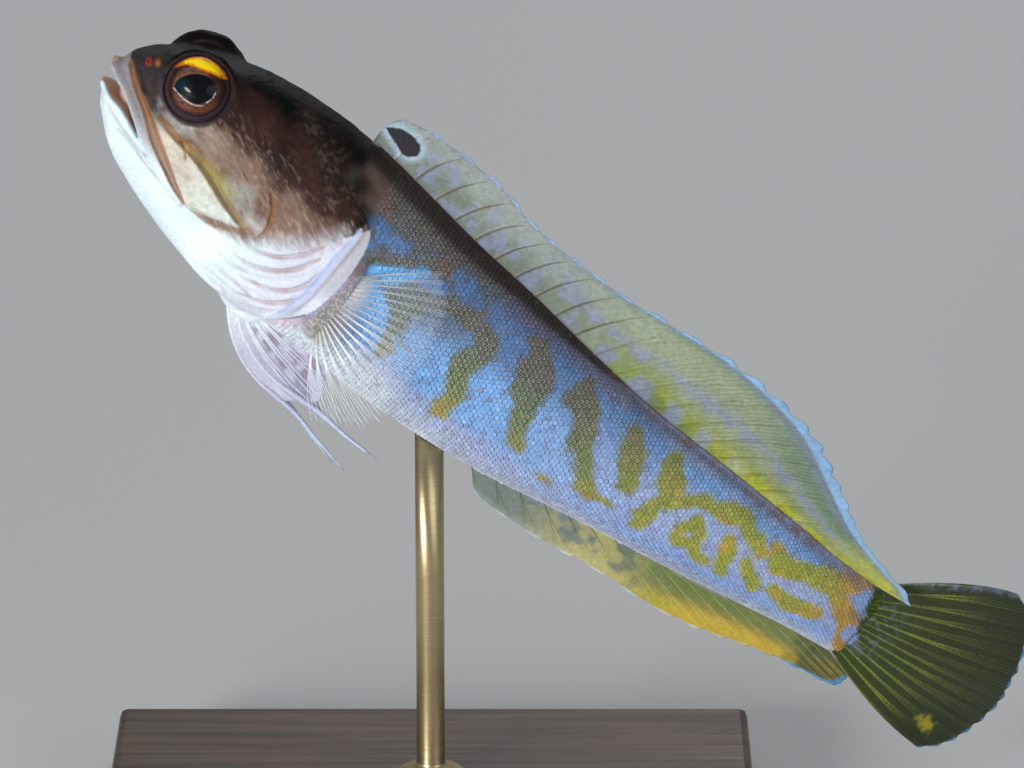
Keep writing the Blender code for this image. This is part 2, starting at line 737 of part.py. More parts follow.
def pelvic_fin(side, word):
    splay = PELVIC_SPLAY[side]

    def root(place):
        share = place / (PELVIC_RAYS - 1)
        s = lerp(PELVIC_BASE[0], PELVIC_BASE[1], share)
        w = PELVIC_APART + 0.3 * share
        middle = float(WIDEST(s))
        power = float(ROUNDNESS(s))
        fall = (1 - (w / float(HALF_WIDTH(s))) ** power) ** (1 / power)
        return (s, side * w, middle - (middle - float(BELLY(s))) * fall - GAP - 0.15)

    def tip(place):
        s, w, h = root(place)
        ahead = float(PELVIC_TIP_S(place)) - s
        down = h - float(PELVIC_TIP_H(place))
        length = math.hypot(ahead, down)
        angle = math.atan2(down, ahead) + PELVIC_DROP[side]
        return (
            s + length * math.cos(angle) * math.cos(splay),
            w + side * length * math.sin(splay),
            h - length * math.sin(angle),
        )

    def bow(place, way):
        return np.array((0.0, 0.0, -4 * float(PELVIC_BOW(place)) * way * (1 - way)))

    def across(place):
        return (-math.sin(splay), side * math.cos(splay), 0.0)

    return fin(
        f"pelvic_fin_{word}", PELVIC_RAYS, root, tip, across, 8, notch=PELVIC_WEB, shoulder=0.1, ray=0.4, bow=bow,
    )


def place_fish(item):
    """Moves a solid of the straight fish to its place over the stand."""
    spots = np.array([tuple(v.co) for v in item.data.vertices])
    for vertex, spot in zip(item.data.vertices, pose(spots)):
        vertex.co = spot
    return item


def stand_base():
    """A flat plate with softened edges."""
    bm = bmesh.new()
    bmesh.ops.create_cube(bm, size=1.0)
    for vertex in bm.verts:
        vertex.co.x *= BASE_LENGTH
        vertex.co.y *= BASE_WIDTH
        vertex.co.z = (vertex.co.z + 0.5) * BASE_THICKNESS
    plate = made("stand_base", closed_mesh("stand_base", bm))
    soften = plate.modifiers.new("edges", "BEVEL")
    soften.width = BASE_BEVEL
    soften.segments = 2
    plate.data = mesh_of(plate)
    plate.modifiers.clear()
    return plate


def stand_rod():
    """An upright rod with a foot, its top shaped to the belly that it carries."""
    top = SNOUT_HEIGHT + ROD_FOOT[2] + 6.0
    low = BASE_THICKNESS + GAP
    profile = (
        (0.0, top), (ROD_RADIUS, top), (ROD_RADIUS, low + 2.4), (ROD_RADIUS + 0.7, low + 1.9),
        (ROD_RADIUS + 2.1, low + 1.2), (ROD_RADIUS + 2.3, low), (0.0, low),
    )
    bm = bmesh.new()
    corners = [bm.verts.new((x, 0, z)) for x, z in profile]
    for near, far in zip(corners, corners[1:]):
        bm.edges.new((near, far))
    mesh = bpy.data.meshes.new("stand_rod")
    bm.to_mesh(mesh)
    bm.free()
    rod = made("stand_rod", mesh)
    turn = rod.modifiers.new("turn", "SCREW")
    turn.steps = 20
    turn.render_steps = 20
    turn.use_merge_vertices = True
    turn.merge_threshold = 0.0001
    rod.data = mesh_of(rod)
    rod.modifiers.clear()
    weld(rod)
    around = body("clearance", TRUNK_STATIONS, TRUNK_COLUMNS, inset=-GAP)
    combine(rod, place_fish(around), "DIFFERENCE")
    return keep_piece(rod)


def material(name, colour, roughness, metallic=0.0):
    paint = bpy.data.materials.new(name)
    paint.use_nodes = True
    shader = paint.node_tree.nodes["Principled BSDF"]
    shader.inputs["Base Color"].default_value = (*colour, 1)
    shader.inputs["Roughness"].default_value = roughness
    shader.inputs["Metallic"].default_value = metallic
    return paint


def finish(item, collection, paint):
    """Brings a node to metres, gives it its material and puts it in the collection."""
    for vertex in item.data.vertices:
        vertex.co *= METRE
    item.data.materials.clear()
    item.data.materials.append(paint)
    for owner in list(item.users_collection):
        owner.objects.unlink(item)
    collection.objects.link(item)


def main():
    for item in list(bpy.data.objects):
        bpy.data.objects.remove(item)
    collection = bpy.data.collections.new("jawfish")
    bpy.context.scene.collection.children.link(collection)
    skin = material("skin", (0.42, 0.38, 0.33), 0.45)
    pale = material("pale skin", (0.78, 0.82, 0.86), 0.4)
    blue = material("blue skin", (0.40, 0.52, 0.72), 0.45)
    membrane = material("fin", (0.42, 0.44, 0.20), 0.4)
    eyes = material("eye", (0.12, 0.06, 0.03), 0.1)
    wood = material("stand wood", (0.08, 0.05, 0.035), 0.4)
    metal = material("stand metal", (0.62, 0.52, 0.33), 0.3, 1.0)
    paints = {
        "head": skin, "lower_jaw": pale, "throat": pale, "gill_cover": skin, "maxilla": pale,
        "eye": eyes, "trunk": blue, "tail": blue, "stand_base": wood, "stand_rod": metal,
    }
    fish = head_parts() + trunk_parts()
    fish += [dorsal_fin(), anal_fin(), caudal_fin()]
    for side, word in ((-1, "left"), (1, "right")):
        fish += [pectoral_fin(side, word), pelvic_fin(side, word)]
    for item in fish:
        place_fish(item)
    for item in fish + [stand_base(), stand_rod()]:
        start = next((key for key in paints if item.name.startswith(key)), None)
        finish(item, collection, paints[start] if start else membrane)


main()
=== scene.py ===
"""A jawfish in one skin, with scales, fine-rayed fins and clear eyes, on its display stand.

The fish is shaped straight, in millimetres, in its own frame: s runs from the snout to the tail,
w to the fish's right and h up. pose() bends it, tips it head up and sets it over the stand.
"""

import itertools
import math

import bpy
import numpy as np
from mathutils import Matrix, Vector


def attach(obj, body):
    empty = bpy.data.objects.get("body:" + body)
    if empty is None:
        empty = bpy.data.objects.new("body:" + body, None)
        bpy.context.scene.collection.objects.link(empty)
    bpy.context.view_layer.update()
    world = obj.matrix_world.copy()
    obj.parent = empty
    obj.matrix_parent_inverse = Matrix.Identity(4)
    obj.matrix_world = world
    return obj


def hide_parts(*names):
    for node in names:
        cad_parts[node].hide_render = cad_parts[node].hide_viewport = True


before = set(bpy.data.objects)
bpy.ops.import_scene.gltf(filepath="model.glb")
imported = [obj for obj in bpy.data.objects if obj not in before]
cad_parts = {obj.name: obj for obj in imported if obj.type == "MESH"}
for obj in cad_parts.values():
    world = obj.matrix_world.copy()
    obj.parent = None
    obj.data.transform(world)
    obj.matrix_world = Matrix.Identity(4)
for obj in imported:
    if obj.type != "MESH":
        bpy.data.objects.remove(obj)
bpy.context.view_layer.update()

METRE = 0.001

SIDES = ((-1, "left"), (1, "right"))

# The body's dimensions, in millimetres and degrees. The eyeball is a little wider than the solid one.
PITCH = math.radians(38.3)
BODY_LENGTH = 92.0
ROD_AT = 45.0
SNOUT_HEIGHT = 78.0
EYE_CENTRE = (6.0, 4.3, 4.65)
EYE_RADIUS = 3.3
EYE_DEPTH = 2.5
EYE_FORWARD = math.radians(10.0)
EYE_UP = math.radians(15.0)
TRUNK_STEP = 0.45


def lerp(a, b, t):
    return a + (b - a) * t


def smooth(points):
    """A curve through the points that never swings past them, as a function of the first number."""
    xs = np.array([p[0] for p in points], float)
    ys = np.array([p[1] for p in points], float)
    steps = np.diff(ys) / np.diff(xs)
    slopes = np.gradient(ys, xs)
    least = 3 * np.minimum(np.abs(steps[:-1]), np.abs(steps[1:]))
    slopes[1:-1] = np.clip(slopes[1:-1], -least, least)
    slopes[1:-1][steps[:-1] * steps[1:] <= 0] = 0.0

    def value(x):
        x = np.clip(np.asarray(x, float), xs[0], xs[-1])
        i = np.clip(np.searchsorted(xs, x, side="right") - 1, 0, len(xs) - 2)
        span = xs[i + 1] - xs[i]
        t = (x - xs[i]) / span
        rise = ys[i + 1] - ys[i]
        bend = t * (1 - t)
        start = slopes[i] * span - rise
        end = rise - slopes[i + 1] * span
        return ys[i] + rise * t + bend * (start * (1 - t) + end * t)

    return value


# The body's outlines from the side and from above, as (s, size).
BACK = smooth((
    (-1.0, 1.5), (-0.4, 2.7), (0.6, 4.0), (2, 5.2), (4, 6.3), (6, 7.3), (9, 8.6), (12, 9.4),
    (16, 10.0), (20, 10.2), (24, 10.0), (30, 9.3), (36, 8.5), (44, 7.8), (52, 6.8), (60, 5.9),
    (70, 5.4), (80, 4.6), (86, 4.0), (92, 4.0), (95, 4.3),
))
BELLY = smooth((
    (-1.0, -2.2), (-0.4, -3.1), (0.6, -4.0), (2, -5.3), (4, -6.6), (6, -7.4), (9, -8.4),
    (13, -9.5), (18, -10.4), (23, -10.6), (30, -10.2), (40, -9.9), (50, -8.9), (55, -8.0),
    (60, -7.1), (66, -6.3), (72, -5.6), (80, -4.6), (86, -4.0), (92, -3.8), (95, -4.0),
))
HALF_WIDTH = smooth((
    (-1.0, 1.6), (-0.4, 2.5), (0.6, 3.3), (2, 4.0), (4, 4.8), (6, 5.4), (9, 6.1), (12, 6.5),
    (18, 7.1), (24, 7.5), (28, 7.4), (34, 6.8), (42, 6.4), (52, 5.6), (62, 4.6), (72, 3.5),
    (82, 2.4), (88, 1.8), (92, 1.15), (95, 0.45),
))
WIDEST = smooth(((-1.0, 0.0), (8, -1.0), (20, -2.0), (32, -1.2), (50, -1.0), (70, -0.4), (92, 0.1)))
ROUNDNESS = smooth(((-1.0, 2.5), (6, 2.3), (20, 2.25), (35, 2.1), (92, 2.0)))

# The angle that the spine makes with the line of the stand, and how far the head is held up.
HEADING = smooth((
    (-6, -2), (12, -2), (30, -6), (45, -3), (60, 3), (75, 9), (92, 17), (104, 28), (118, 34),
))
NOD = smooth(((-6, 0.8), (0, 0.6), (24, 0), (118, 0)))

# The line of the mouth, how far it gapes, and the lines that part the plates of the head.
MOUTH = smooth((
    (-2.2, 0.3), (0.6, -0.3), (4.3, -2.3), (8.2, -4.0), (12.6, -4.7), (15, -4.7), (18.2, -4.2),
    (20.6, -3.5), (24, -4.8), (27.8, -5.3), (32, -5.6),
))
MOUTH_GAPE = smooth((
    (-2.2, 1.5), (0.2, 1.45), (1.2, 1.1), (2.4, 0.7), (3.4, 0.45), (4.2, 0.3), (4.8, 0.1), (32, 0.08),
))


def mouth_middle(s):
    """The middle of the gape, which opens below the line of the mouth."""
    return MOUTH(s) - MOUTH_GAPE(s) / 2


GILL_OPENING = (
    (20.4, 13.0), (24.3, 7.6), (27.5, 4.6), (28.3, 1.0), (28.1, -2.5), (27.3, -5.7),
    (24.8, -8.7), (21.3, -11.2), (20.0, -13.0),
)


SPINE_START = -6.0
SPINE_END = 118.0
SPINE_STEP = 0.5


def spine_table():
    """Where the spine runs, seen from above, at every half millimetre of the fish."""
    steps = np.arange(SPINE_START, SPINE_END, SPINE_STEP)
    angles = np.radians(HEADING(steps))
    x = np.concatenate(([0.0], np.cumsum(np.cos(angles[:-1]) * SPINE_STEP)))
    y = np.concatenate(([0.0], np.cumsum(np.sin(angles[:-1]) * SPINE_STEP)))
    x -= np.interp(0.0, steps, x)
    y -= np.interp(0.0, steps, y)
    return steps, x, y


SPINE = spine_table()


def tipped(points):
    """Points of the straight fish, bent and tipped head up, with the snout at zero."""
    s, w, h = np.asarray(points, float).reshape(-1, 3).T
    h = h + NOD(s)
    steps, along, aside = SPINE
    angle = np.radians(HEADING(s))
    x = np.interp(s, steps, along) - w * np.sin(angle)
    y = np.interp(s, steps, aside) + w * np.cos(angle)
    tipped_x = x * math.cos(PITCH) + h * math.sin(PITCH)
    tipped_z = h * math.cos(PITCH) - x * math.sin(PITCH)
    return np.column_stack((tipped_x, y, tipped_z))


ROD_FOOT = tipped([(ROD_AT, 0.0, float(BELLY(ROD_AT)))])[0]


def pose(points):
    """Points of the straight fish, set over the stand, still in millimetres."""
    placed = tipped(points)
    placed[:, 0] -= ROD_FOOT[0]
    placed[:, 1] -= ROD_FOOT[1]
    placed[:, 2] += SNOUT_HEIGHT
    return placed


def flank(s, h):
    """The half width of the body at a height."""
    middle = WIDEST(s)
    reach = np.where(h > middle, BACK(s) - middle, middle - BELLY(s))
    rise = np.clip(np.abs(h - middle) / reach, 0, 1)
    power = ROUNDNESS(s)
    return HALF_WIDTH(s) * (1 - rise**power) ** (1 / power)


# The camera stands 20 degrees above the level, square to the fish's left side.
LENS = 200.0
SENSOR = 36.0
CAMERA_DISTANCE = 551.8
CAMERA_RISE = math.radians(20.0)
LOOK_AT = np.array((8.0, 3.53, 47.0))
IMAGE = (1024, 768)
CAMERA_AT = LOOK_AT + CAMERA_DISTANCE * np.array((0.0, -math.cos(CAMERA_RISE), math.sin(CAMERA_RISE)))


def in_image(points):
    """Where points of the straight fish fall in the image, in pixels from its top left."""
    ahead = pose(points) - CAMERA_AT
    view = np.array((0.0, math.cos(CAMERA_RISE), -math.sin(CAMERA_RISE)))
    up = np.array((0.0, math.sin(CAMERA_RISE), math.cos(CAMERA_RISE)))
    scale = LENS / SENSOR * IMAGE[0] / (ahead @ view)
    return np.column_stack((IMAGE[0] / 2 + ahead[:, 0] * scale, IMAGE[1] / 2 - (ahead @ up) * scale))


# Where the search for a pixel's place starts, in how many steps it closes in, and its small step.
SEARCH_FROM = (40.0, 0.0)
SEARCH_STEPS = 14
NUDGE = 0.05


def seen_at(pixels, width=None):
    """The places (s, h) seen at some pixels, on the fish's left side or at a given w."""
    pixels = np.asarray(pixels, float).reshape(-1, 2)
    spots = np.tile(SEARCH_FROM, (len(pixels), 1))

    def look(s, h, w):
        return in_image(np.column_stack((s, w, h)))

    for _ in range(SEARCH_STEPS):
        s, h = spots.T
        w = np.full(len(s), width) if width is not None else -flank(s, h)
        here = look(s, h, w)
        along = (look(s + NUDGE, h, w) - here) / NUDGE
        rise = (look(s, h + NUDGE, w) - here) / NUDGE
        off = pixels - here
        scale = along[:, 0] * rise[:, 1] - along[:, 1] * rise[:, 0]
        ds = (off[:, 0] * rise[:, 1] - off[:, 1] * rise[:, 0]) / scale
        dh = (along[:, 0] * off[:, 1] - along[:, 1] * off[:, 0]) / scale
        spots = spots + np.column_stack((ds, dh))
    return spots


# Noise and distances

LATTICE_SIZE = 32
LATTICE_SEED = 7
LATTICE = np.random.default_rng(LATTICE_SEED).random((LATTICE_SIZE, LATTICE_SIZE, LATTICE_SIZE))

# Keeps the points' places in the lattice above zero.
LATTICE_SHIFT = 100.0


def noise(points, size):
    """Smooth noise from -1 to 1 whose lumps are about size across."""
    spots = np.asarray(points, float) / size + LATTICE_SHIFT
    low = np.floor(spots).astype(int)
    part = spots - low
    part = part * part * (3 - 2 * part)
    total = np.zeros(len(spots))
    for corner in itertools.product((0, 1), repeat=3):
        weight = np.prod(np.where(corner, part, 1 - part), axis=1)
        i, j, k = ((low + corner) % LATTICE_SIZE).T
        total += weight * LATTICE[i, j, k]
    return 2 * total - 1


def noises(points, *kinds):
    """Several noises over the same points, each given as a shift of the points and a size."""
    return [noise(points + shift, size) for shift, size in kinds]


def ramp(low, high, x):
    """0 below low, 1 above high, and a smooth rise between."""
    t = np.clip((x - low) / (high - low), 0, 1)
    return t * t * (3 - 2 * t)


def band(x, middle, half, soft):
    """1 within half of middle, fading over soft."""
    return 1 - ramp(half, half + soft, np.abs(x - middle))


def to_line(s, h, line):
    """Distance to a line in the side view, how far along it as a share, and which side.

    The side is positive to the left of the line's run."""
    line = np.asarray(line, float)
    best = np.full(np.shape(s), 1e9)
    share = np.zeros(np.shape(s))
    side = np.zeros(np.shape(s))
    runs = np.hypot(*np.diff(line, axis=0).T)
    starts = np.concatenate(([0], np.cumsum(runs)[:-1]))
    total = runs.sum()
    for (a, b), (c, d), start, run in zip(line, line[1:], starts, runs):
        if run == 0:
            continue
        es, eh = (c - a) / run, (d - b) / run
        ps, ph = s - a, h - b
        t = np.clip(ps * es + ph * eh, 0, run)
        gap = np.hypot(ps - t * es, ph - t * eh)
        nearer = gap < best
        best = np.where(nearer, gap, best)
        share = np.where(nearer, (start + t) / total, share)
        side = np.where(nearer, es * ph - eh * ps, side)
    return best, share, np.sign(side)


def signed_gap(s, h, line):
    """Distance to a line, positive to the left of its run."""
    gap, _, side = to_line(s, h, line)
    return gap * side


def inside_of(s, h, outline):
    """Signed distance to a closed outline in the side view, negative inside."""
    outline = np.asarray(outline, float)
    closed = np.vstack((outline, outline[:1]))
    gap = to_line(s, h, closed)[0]
    within = np.zeros(np.shape(s), bool)
    for (a, b), (c, d) in zip(closed, closed[1:]):
        crosses = (b > h) != (d > h)
        at = a + (h - b) * (c - a) / np.where(d == b, 1e-9, d - b)
        within ^= crosses & (s < at)
    return np.where(within, -gap, gap)


def rounded(line, steps=8):
    """A line through the same points with its corners rounded."""
    line = np.asarray(line, float)
    ends = np.vstack((2 * line[0] - line[1], line, 2 * line[-1] - line[-2]))
    spots = [line[0]]
    for a, b, c, d in zip(ends, ends[1:], ends[2:], ends[3:]):
        for t in np.linspace(0, 1, steps + 1)[1:]:
            run = (c - a) * t + (2 * a - 5 * b + 4 * c - d) * t**2 + (3 * b - a - 3 * c + d) * t**3
            spots.append(b + 0.5 * run)
    return np.array(spots)


def blend_min(a, b, soft):
    """The nearer of two fields, rounded where they meet."""
    t = np.clip(0.5 + 0.5 * (b - a) / soft, 0, 1)
    return lerp(b, a, t) - soft * t * (1 - t)


def blend_max(a, b, soft):
    return -blend_min(-a, -b, soft)


# The skin as a field, negative inside

LIP = 0.45
LIP_OUT = 0.36
LIP_END = 14.5
TAIL_END = 92.3
ORBIT_RADIUS = 3.85
ORBIT_DEPTH = 2.3
SOCKET_TIGHT = 0.06
MOUTH_DEPTH = 1.6
MOUTH_CUT_END = 4.3
NOSTRIL_PIXELS = ((149, 62), (158, 62))
NOSTRIL_PLACES = seen_at(NOSTRIL_PIXELS)
NOSTRIL_SIZES = (0.17, 0.13)
SNOUT_END = -1.4
GILL_LINE = rounded(GILL_OPENING, 4)

# The trunk is sunk behind the gill covers from one place on, over a length.
SUNK_FROM = 28
SUNK_OVER = 7

# The slit behind the gill cover: its middle behind the line, half width, depth, top and foot.
SLIT_MIDDLE = 0.12
SLIT_HALF = 0.11
SLIT_DEPTH = 0.95
SLIT_TOP = 0.6
SLIT_FOOT = 10.3

# The fleshy lobe that carries the pectoral fin, and the swelling at the root of the pelvic fin.
LOBE_AT = (28.9, -2.7)
LOBE_SIZE = (1.5, 0.72, 4.6)
PELVIS_AT = (22.6, 1.5, 0.2)
PELVIS_SIZE = (2.2, 0.9, 0.8)

# The thin ridges under the dorsal and anal fins: middle and half length along the fish.
RIDGE_HALF = 0.2
RIDGE_RISE = 0.3
DORSAL_RIDGE = (57, 33.5)
ANAL_RIDGE = (70.6, 20.5)


def body_distance(s, w, h):
    """Roughly how far a point is outside the plain body."""
    middle = WIDEST(s)
    up = h > middle
    reach = np.where(up, BACK(s) - middle, middle - BELLY(s))
    half = HALF_WIDTH(s)
    power = ROUNDNESS(s)
    a = np.abs(w) / half
    b = np.abs(h - middle) / reach
    size = np.maximum(a**power + b**power, 1e-4) ** (1 / power)
    slope_w = size ** (1 - power) * a ** (power - 1) / half
    slope_h = size ** (1 - power) * b ** (power - 1) / reach
    steep = np.maximum(np.hypot(slope_w, slope_h), 1 / (half + reach))
    return (size - 1) / steep


def eye_axes(side):
    """The way the eye looks, and the level and upright directions across it."""
    out = np.array((
        -math.sin(EYE_FORWARD),
        side * math.cos(EYE_FORWARD) * math.cos(EYE_UP),
        math.cos(EYE_FORWARD) * math.sin(EYE_UP),
    ))
    level = np.cross(out, (0.0, 0.0, 1.0)) * side
    level /= np.linalg.norm(level)
    upright = np.cross(level, out) * side
    return out, level, upright


def eye_place(s, w, h):
    """How far points lie across and along the eye's axis, on either side."""
    out = eye_axes(1)[0]
    rel = (s - EYE_CENTRE[0], np.abs(w) - EYE_CENTRE[1], h - EYE_CENTRE[2])
    along = rel[0] * out[0] + rel[1] * out[1] + rel[2] * out[2]
    far = rel[0] ** 2 + rel[1] ** 2 + rel[2] ** 2
    return np.sqrt(np.maximum(far - along**2, 0)), along


def gill_step(s, h):
    """How far behind the gill opening's line a point lies, in the side view."""
    return signed_gap(s, h, GILL_LINE)


def ball_reach(ds, dw, dh, size):
    """How far out of a stretched ball points lie, 1 on its surface."""
    return np.sqrt((ds / size[0]) ** 2 + (dw / size[1]) ** 2 + (dh / size[2]) ** 2)


def skin_field(s, w, h):
    """The whole skin. Takes flat arrays, in the straight fish."""
    side = np.abs(w)
    body = body_distance(s, side, h)
    behind = gill_step(s, h)
    sunk = TRUNK_STEP * np.clip(1 - np.maximum(0, s - SUNK_FROM) / SUNK_OVER, 0, 1)
    sunk = sunk * (1 - 0.7 * ramp(2, 6, h))
    body = body + sunk * ramp(-0.05, lerp(0.2, 2.6, ramp(0, 4, h)), behind)
    body = blend_max(body, SNOUT_END + 0.3 * (1 - ramp(-1.2, 0.2, h)) - s, 1.5)
    body = blend_max(body, s - TAIL_END, 0.5)
    body = blend_max(body, (side - 0.32 - 0.3 * np.maximum(0, TAIL_END - s)) * 0.95, 0.3)
    across, along = eye_place(s, w, h)
    mound = (np.hypot(across / ORBIT_RADIUS, along / ORBIT_DEPTH) - 1) * 2.8
    mound = blend_max(mound, along - 0.7, 0.5)
    brow = blend_min(body, mound, 1.5)
    gape = MOUTH_GAPE(s) / 2
    off = h - mouth_middle(s)
    lip_size = LIP * (1 - ramp(6, 14, s)) + 0.12
    top = np.hypot(off - gape - LIP_OUT, body + 0.2) - lip_size
    low = np.hypot(off + gape + LIP_OUT, body + 0.2) - lip_size
    lips = np.where(s < LIP_END, np.minimum(top, low), 9.0)
    field = blend_min(brow, lips, 0.3)
    depth = lerp(MOUTH_DEPTH, 0.25, ramp(3.0, MOUTH_CUT_END, s))
    cut = np.maximum(np.abs(off) - gape, -(body + depth))
    cut = np.maximum(cut, s - MOUTH_CUT_END)
    field = blend_max(field, -cut, 0.18)
    slit = np.maximum(np.abs(behind - SLIT_MIDDLE) - SLIT_HALF, -(body + SLIT_DEPTH))
    slit = np.maximum(slit, np.maximum(h - SLIT_TOP, -h - SLIT_FOOT))
    field = blend_max(field, -slit, 0.12)
    for (at, height), size in zip(NOSTRIL_PLACES, NOSTRIL_SIZES):
        reach = np.sqrt((s - at) ** 2 + (side - flank(at, height)) ** 2 + (h - height) ** 2)
        field = blend_min(field, reach - size - 0.04, 0.3)
        field = blend_max(field, size - reach, 0.08)
    lobe = ball_reach(s - LOBE_AT[0], side - flank(s, h), h - LOBE_AT[1], LOBE_SIZE)
    field = blend_min(field, (lobe - 1) * 0.9, 0.5)
    pelvis = ball_reach(s - PELVIS_AT[0], side - PELVIS_AT[1], h - BELLY(s) - PELVIS_AT[2], PELVIS_SIZE)
    field = blend_min(field, (pelvis - 1) * 0.8, 0.5)
    for edge, (middle, half), soft in ((BACK, DORSAL_RIDGE, 0.9), (BELLY, ANAL_RIDGE, 0.8)):
        ridge = np.maximum(side - RIDGE_HALF, np.abs(h - edge(s)) - RIDGE_RISE)
        field = blend_min(field, np.maximum(ridge, np.abs(s - middle) - half), soft)
    socket = np.hypot(across / (EYE_RADIUS - SOCKET_TIGHT), along / (EYE_DEPTH - SOCKET_TIGHT)) - 1
    return blend_max(field, -socket * 2.6, 0.16)


# A surface drawn through a field on a grid

CORNERS = list(itertools.product((0, 1), repeat=3))
CELL_EDGES = [
    (a, b) for a, b in itertools.combinations(range(8), 2)
    if sum(x != y for x, y in zip(CORNERS[a], CORNERS[b])) == 1
]


def surface(field, axes):
    """Points and four-cornered faces where the field on a grid passes through zero."""
    inside = field < 0
    below = [n - 1 for n in field.shape]
    filled = np.zeros(below, np.int8)
    for dx, dy, dz in CORNERS:
        filled += inside[dx:dx + below[0], dy:dy + below[1], dz:dz + below[2]]
    active = (filled > 0) & (filled < 8)
    cells = np.argwhere(active)
    index = np.full(below, -1, np.int32)
    index[active] = np.arange(len(cells))
    values = [field[tuple((cells + corner).T)] for corner in CORNERS]
    total = np.zeros((len(cells), 3))
    count = np.zeros(len(cells))
    for a, b in CELL_EDGES:
        crosses = (values[a] < 0) != (values[b] < 0)
        t = values[a] / np.where(crosses, values[a] - values[b], 1)
        start, end = np.array(CORNERS[a], float), np.array(CORNERS[b], float)
        total += np.where(crosses[:, None], start + t[:, None] * (end - start), 0)
        count += crosses
    place = cells + total / count[:, None]
    points = np.column_stack([
        np.interp(place[:, k], np.arange(len(axis)), axis) for k, axis in enumerate(axes)
    ])
    faces = []
    for axis in range(3):
        other, third = (axis + 1) % 3, (axis + 2) % 3
        near = [slice(None)] * 3
        far = [slice(None)] * 3
        near[axis], far[axis] = slice(None, -1), slice(1, None)
        changed = np.argwhere(inside[tuple(near)] != inside[tuple(far)])
        changed = changed[(changed[:, other] > 0) & (changed[:, third] > 0)]
        changed = changed[(changed[:, other] < below[other]) & (changed[:, third] < below[third])]
        turned = inside[tuple(changed.T)]
        corners = []
        for back_other, back_third in ((1, 1), (0, 1), (0, 0), (1, 0)):
            cell = changed.copy()
            cell[:, other] -= back_other
            cell[:, third] -= back_third
            corners.append(index[tuple(cell.T)])
        quads = np.column_stack(corners)
        quads[~turned] = quads[~turned][:, ::-1]
        faces.append(quads)
    return points, np.vstack(faces)


def neighbour_mean(points, faces):
    """The mean of each point's neighbours along the faces' edges."""
    total = np.zeros_like(points)
    count = np.zeros(len(points))
    for k in range(faces.shape[1]):
        a, b = faces[:, k], faces[:, (k + 1) % faces.shape[1]]
        for one, two in ((a, b), (b, a)):
            for axis in range(3):
                total[:, axis] += np.bincount(one, points[two, axis], len(points))
            count += np.bincount(one, minlength=len(points))
    return total / np.maximum(count, 1)[:, None]


def normals_of(points, faces):
    """Unit normals at the points, from the faces round them."""
    a, b, c, d = (points[faces[:, k]] for k in range(4))
    flat = np.cross(c - a, d - b)
    total = np.zeros_like(points)
    for k in range(4):
        for axis in range(3):
            total[:, axis] += np.bincount(faces[:, k], flat[:, axis], len(points))
    return total / np.maximum(np.linalg.norm(total, axis=1), 1e-9)[:, None]


# The grid's step at the head and at the tail, and how far it goes to the side, down and up.
FINE = 0.13
COARSE = 0.4
GRID_SIDE = 8.4
GRID_FOOT = -11.9
GRID_TOP = 11.3

# The field is worked out only this far inside and outside the plain body, and farther at the snout.
FIELD_INSIDE = -2.8
FIELD_OUTSIDE = 2.6
SNOUT_OUTSIDE = 4.0
SNOUT_UP_TO = 11
FAR_AWAY = 2.0

# Smoothing pushes each point to its neighbours' mean and back out again, so that nothing shrinks.
PUSHES = (0.5, -0.52, 0.5, -0.52)


def skin_grid():
    """The steps of the grid along the fish, across it and up, finest at the head."""
    steps = [SNOUT_END - 0.7]
    while steps[-1] < TAIL_END + 0.8:
        steps.append(steps[-1] + lerp(FINE, COARSE, float(ramp(29, 45, steps[-1]))))
    side = np.arange(-GRID_SIDE, GRID_SIDE + 0.01, FINE)
    up = np.arange(GRID_FOOT, GRID_TOP, FINE)
    return np.array(steps), side, up


def skin_shape():
    """The skin's points in the straight fish, and its faces."""
    steps, side, up = skin_grid()
    half = side[side > -FINE / 2]
    s, w, h = np.meshgrid(steps, half, up, indexing="ij")
    rough = body_distance(s.ravel(), w.ravel(), h.ravel()).reshape(s.shape)
    near = np.where(rough > 0, FAR_AWAY, -FAR_AWAY).astype(np.float32)
    close = (rough < FIELD_OUTSIDE) & (rough > FIELD_INSIDE)
    close |= (s < SNOUT_UP_TO) & (rough < SNOUT_OUTSIDE)
    near[close] = skin_field(s[close], w[close], h[close])
    back = np.searchsorted(half, np.abs(side) - FINE / 4)
    whole = near[:, np.clip(back, 0, len(half) - 1), :]
    points, faces = surface(whole, (steps, side, up))
    for push in PUSHES:
        points += push * (neighbour_mean(points, faces) - points)
    return points, faces


# The fish's colours

def colour(red, green, blue):
    """A colour given as 0 to 255 on a screen, as linear light."""
    light = np.array((red, green, blue)) / 255
    return np.where(light <= 0.04045, light / 12.92, ((light + 0.055) / 1.055) ** 2.4)


def stops(x, *pairs):
    """Colours at every x, read evenly between pairs of place and colour."""
    places = [pair[0] for pair in pairs]
    tints = np.array([pair[1] for pair in pairs])
    return np.stack([np.interp(x, places, tints[:, k]) for k in range(3)], -1)


def over(base, tint, share):
    """base with tint laid over it, as strongly as share says at each point."""
    return base + (np.asarray(tint) - base) * np.clip(share, 0, 1)[..., None]


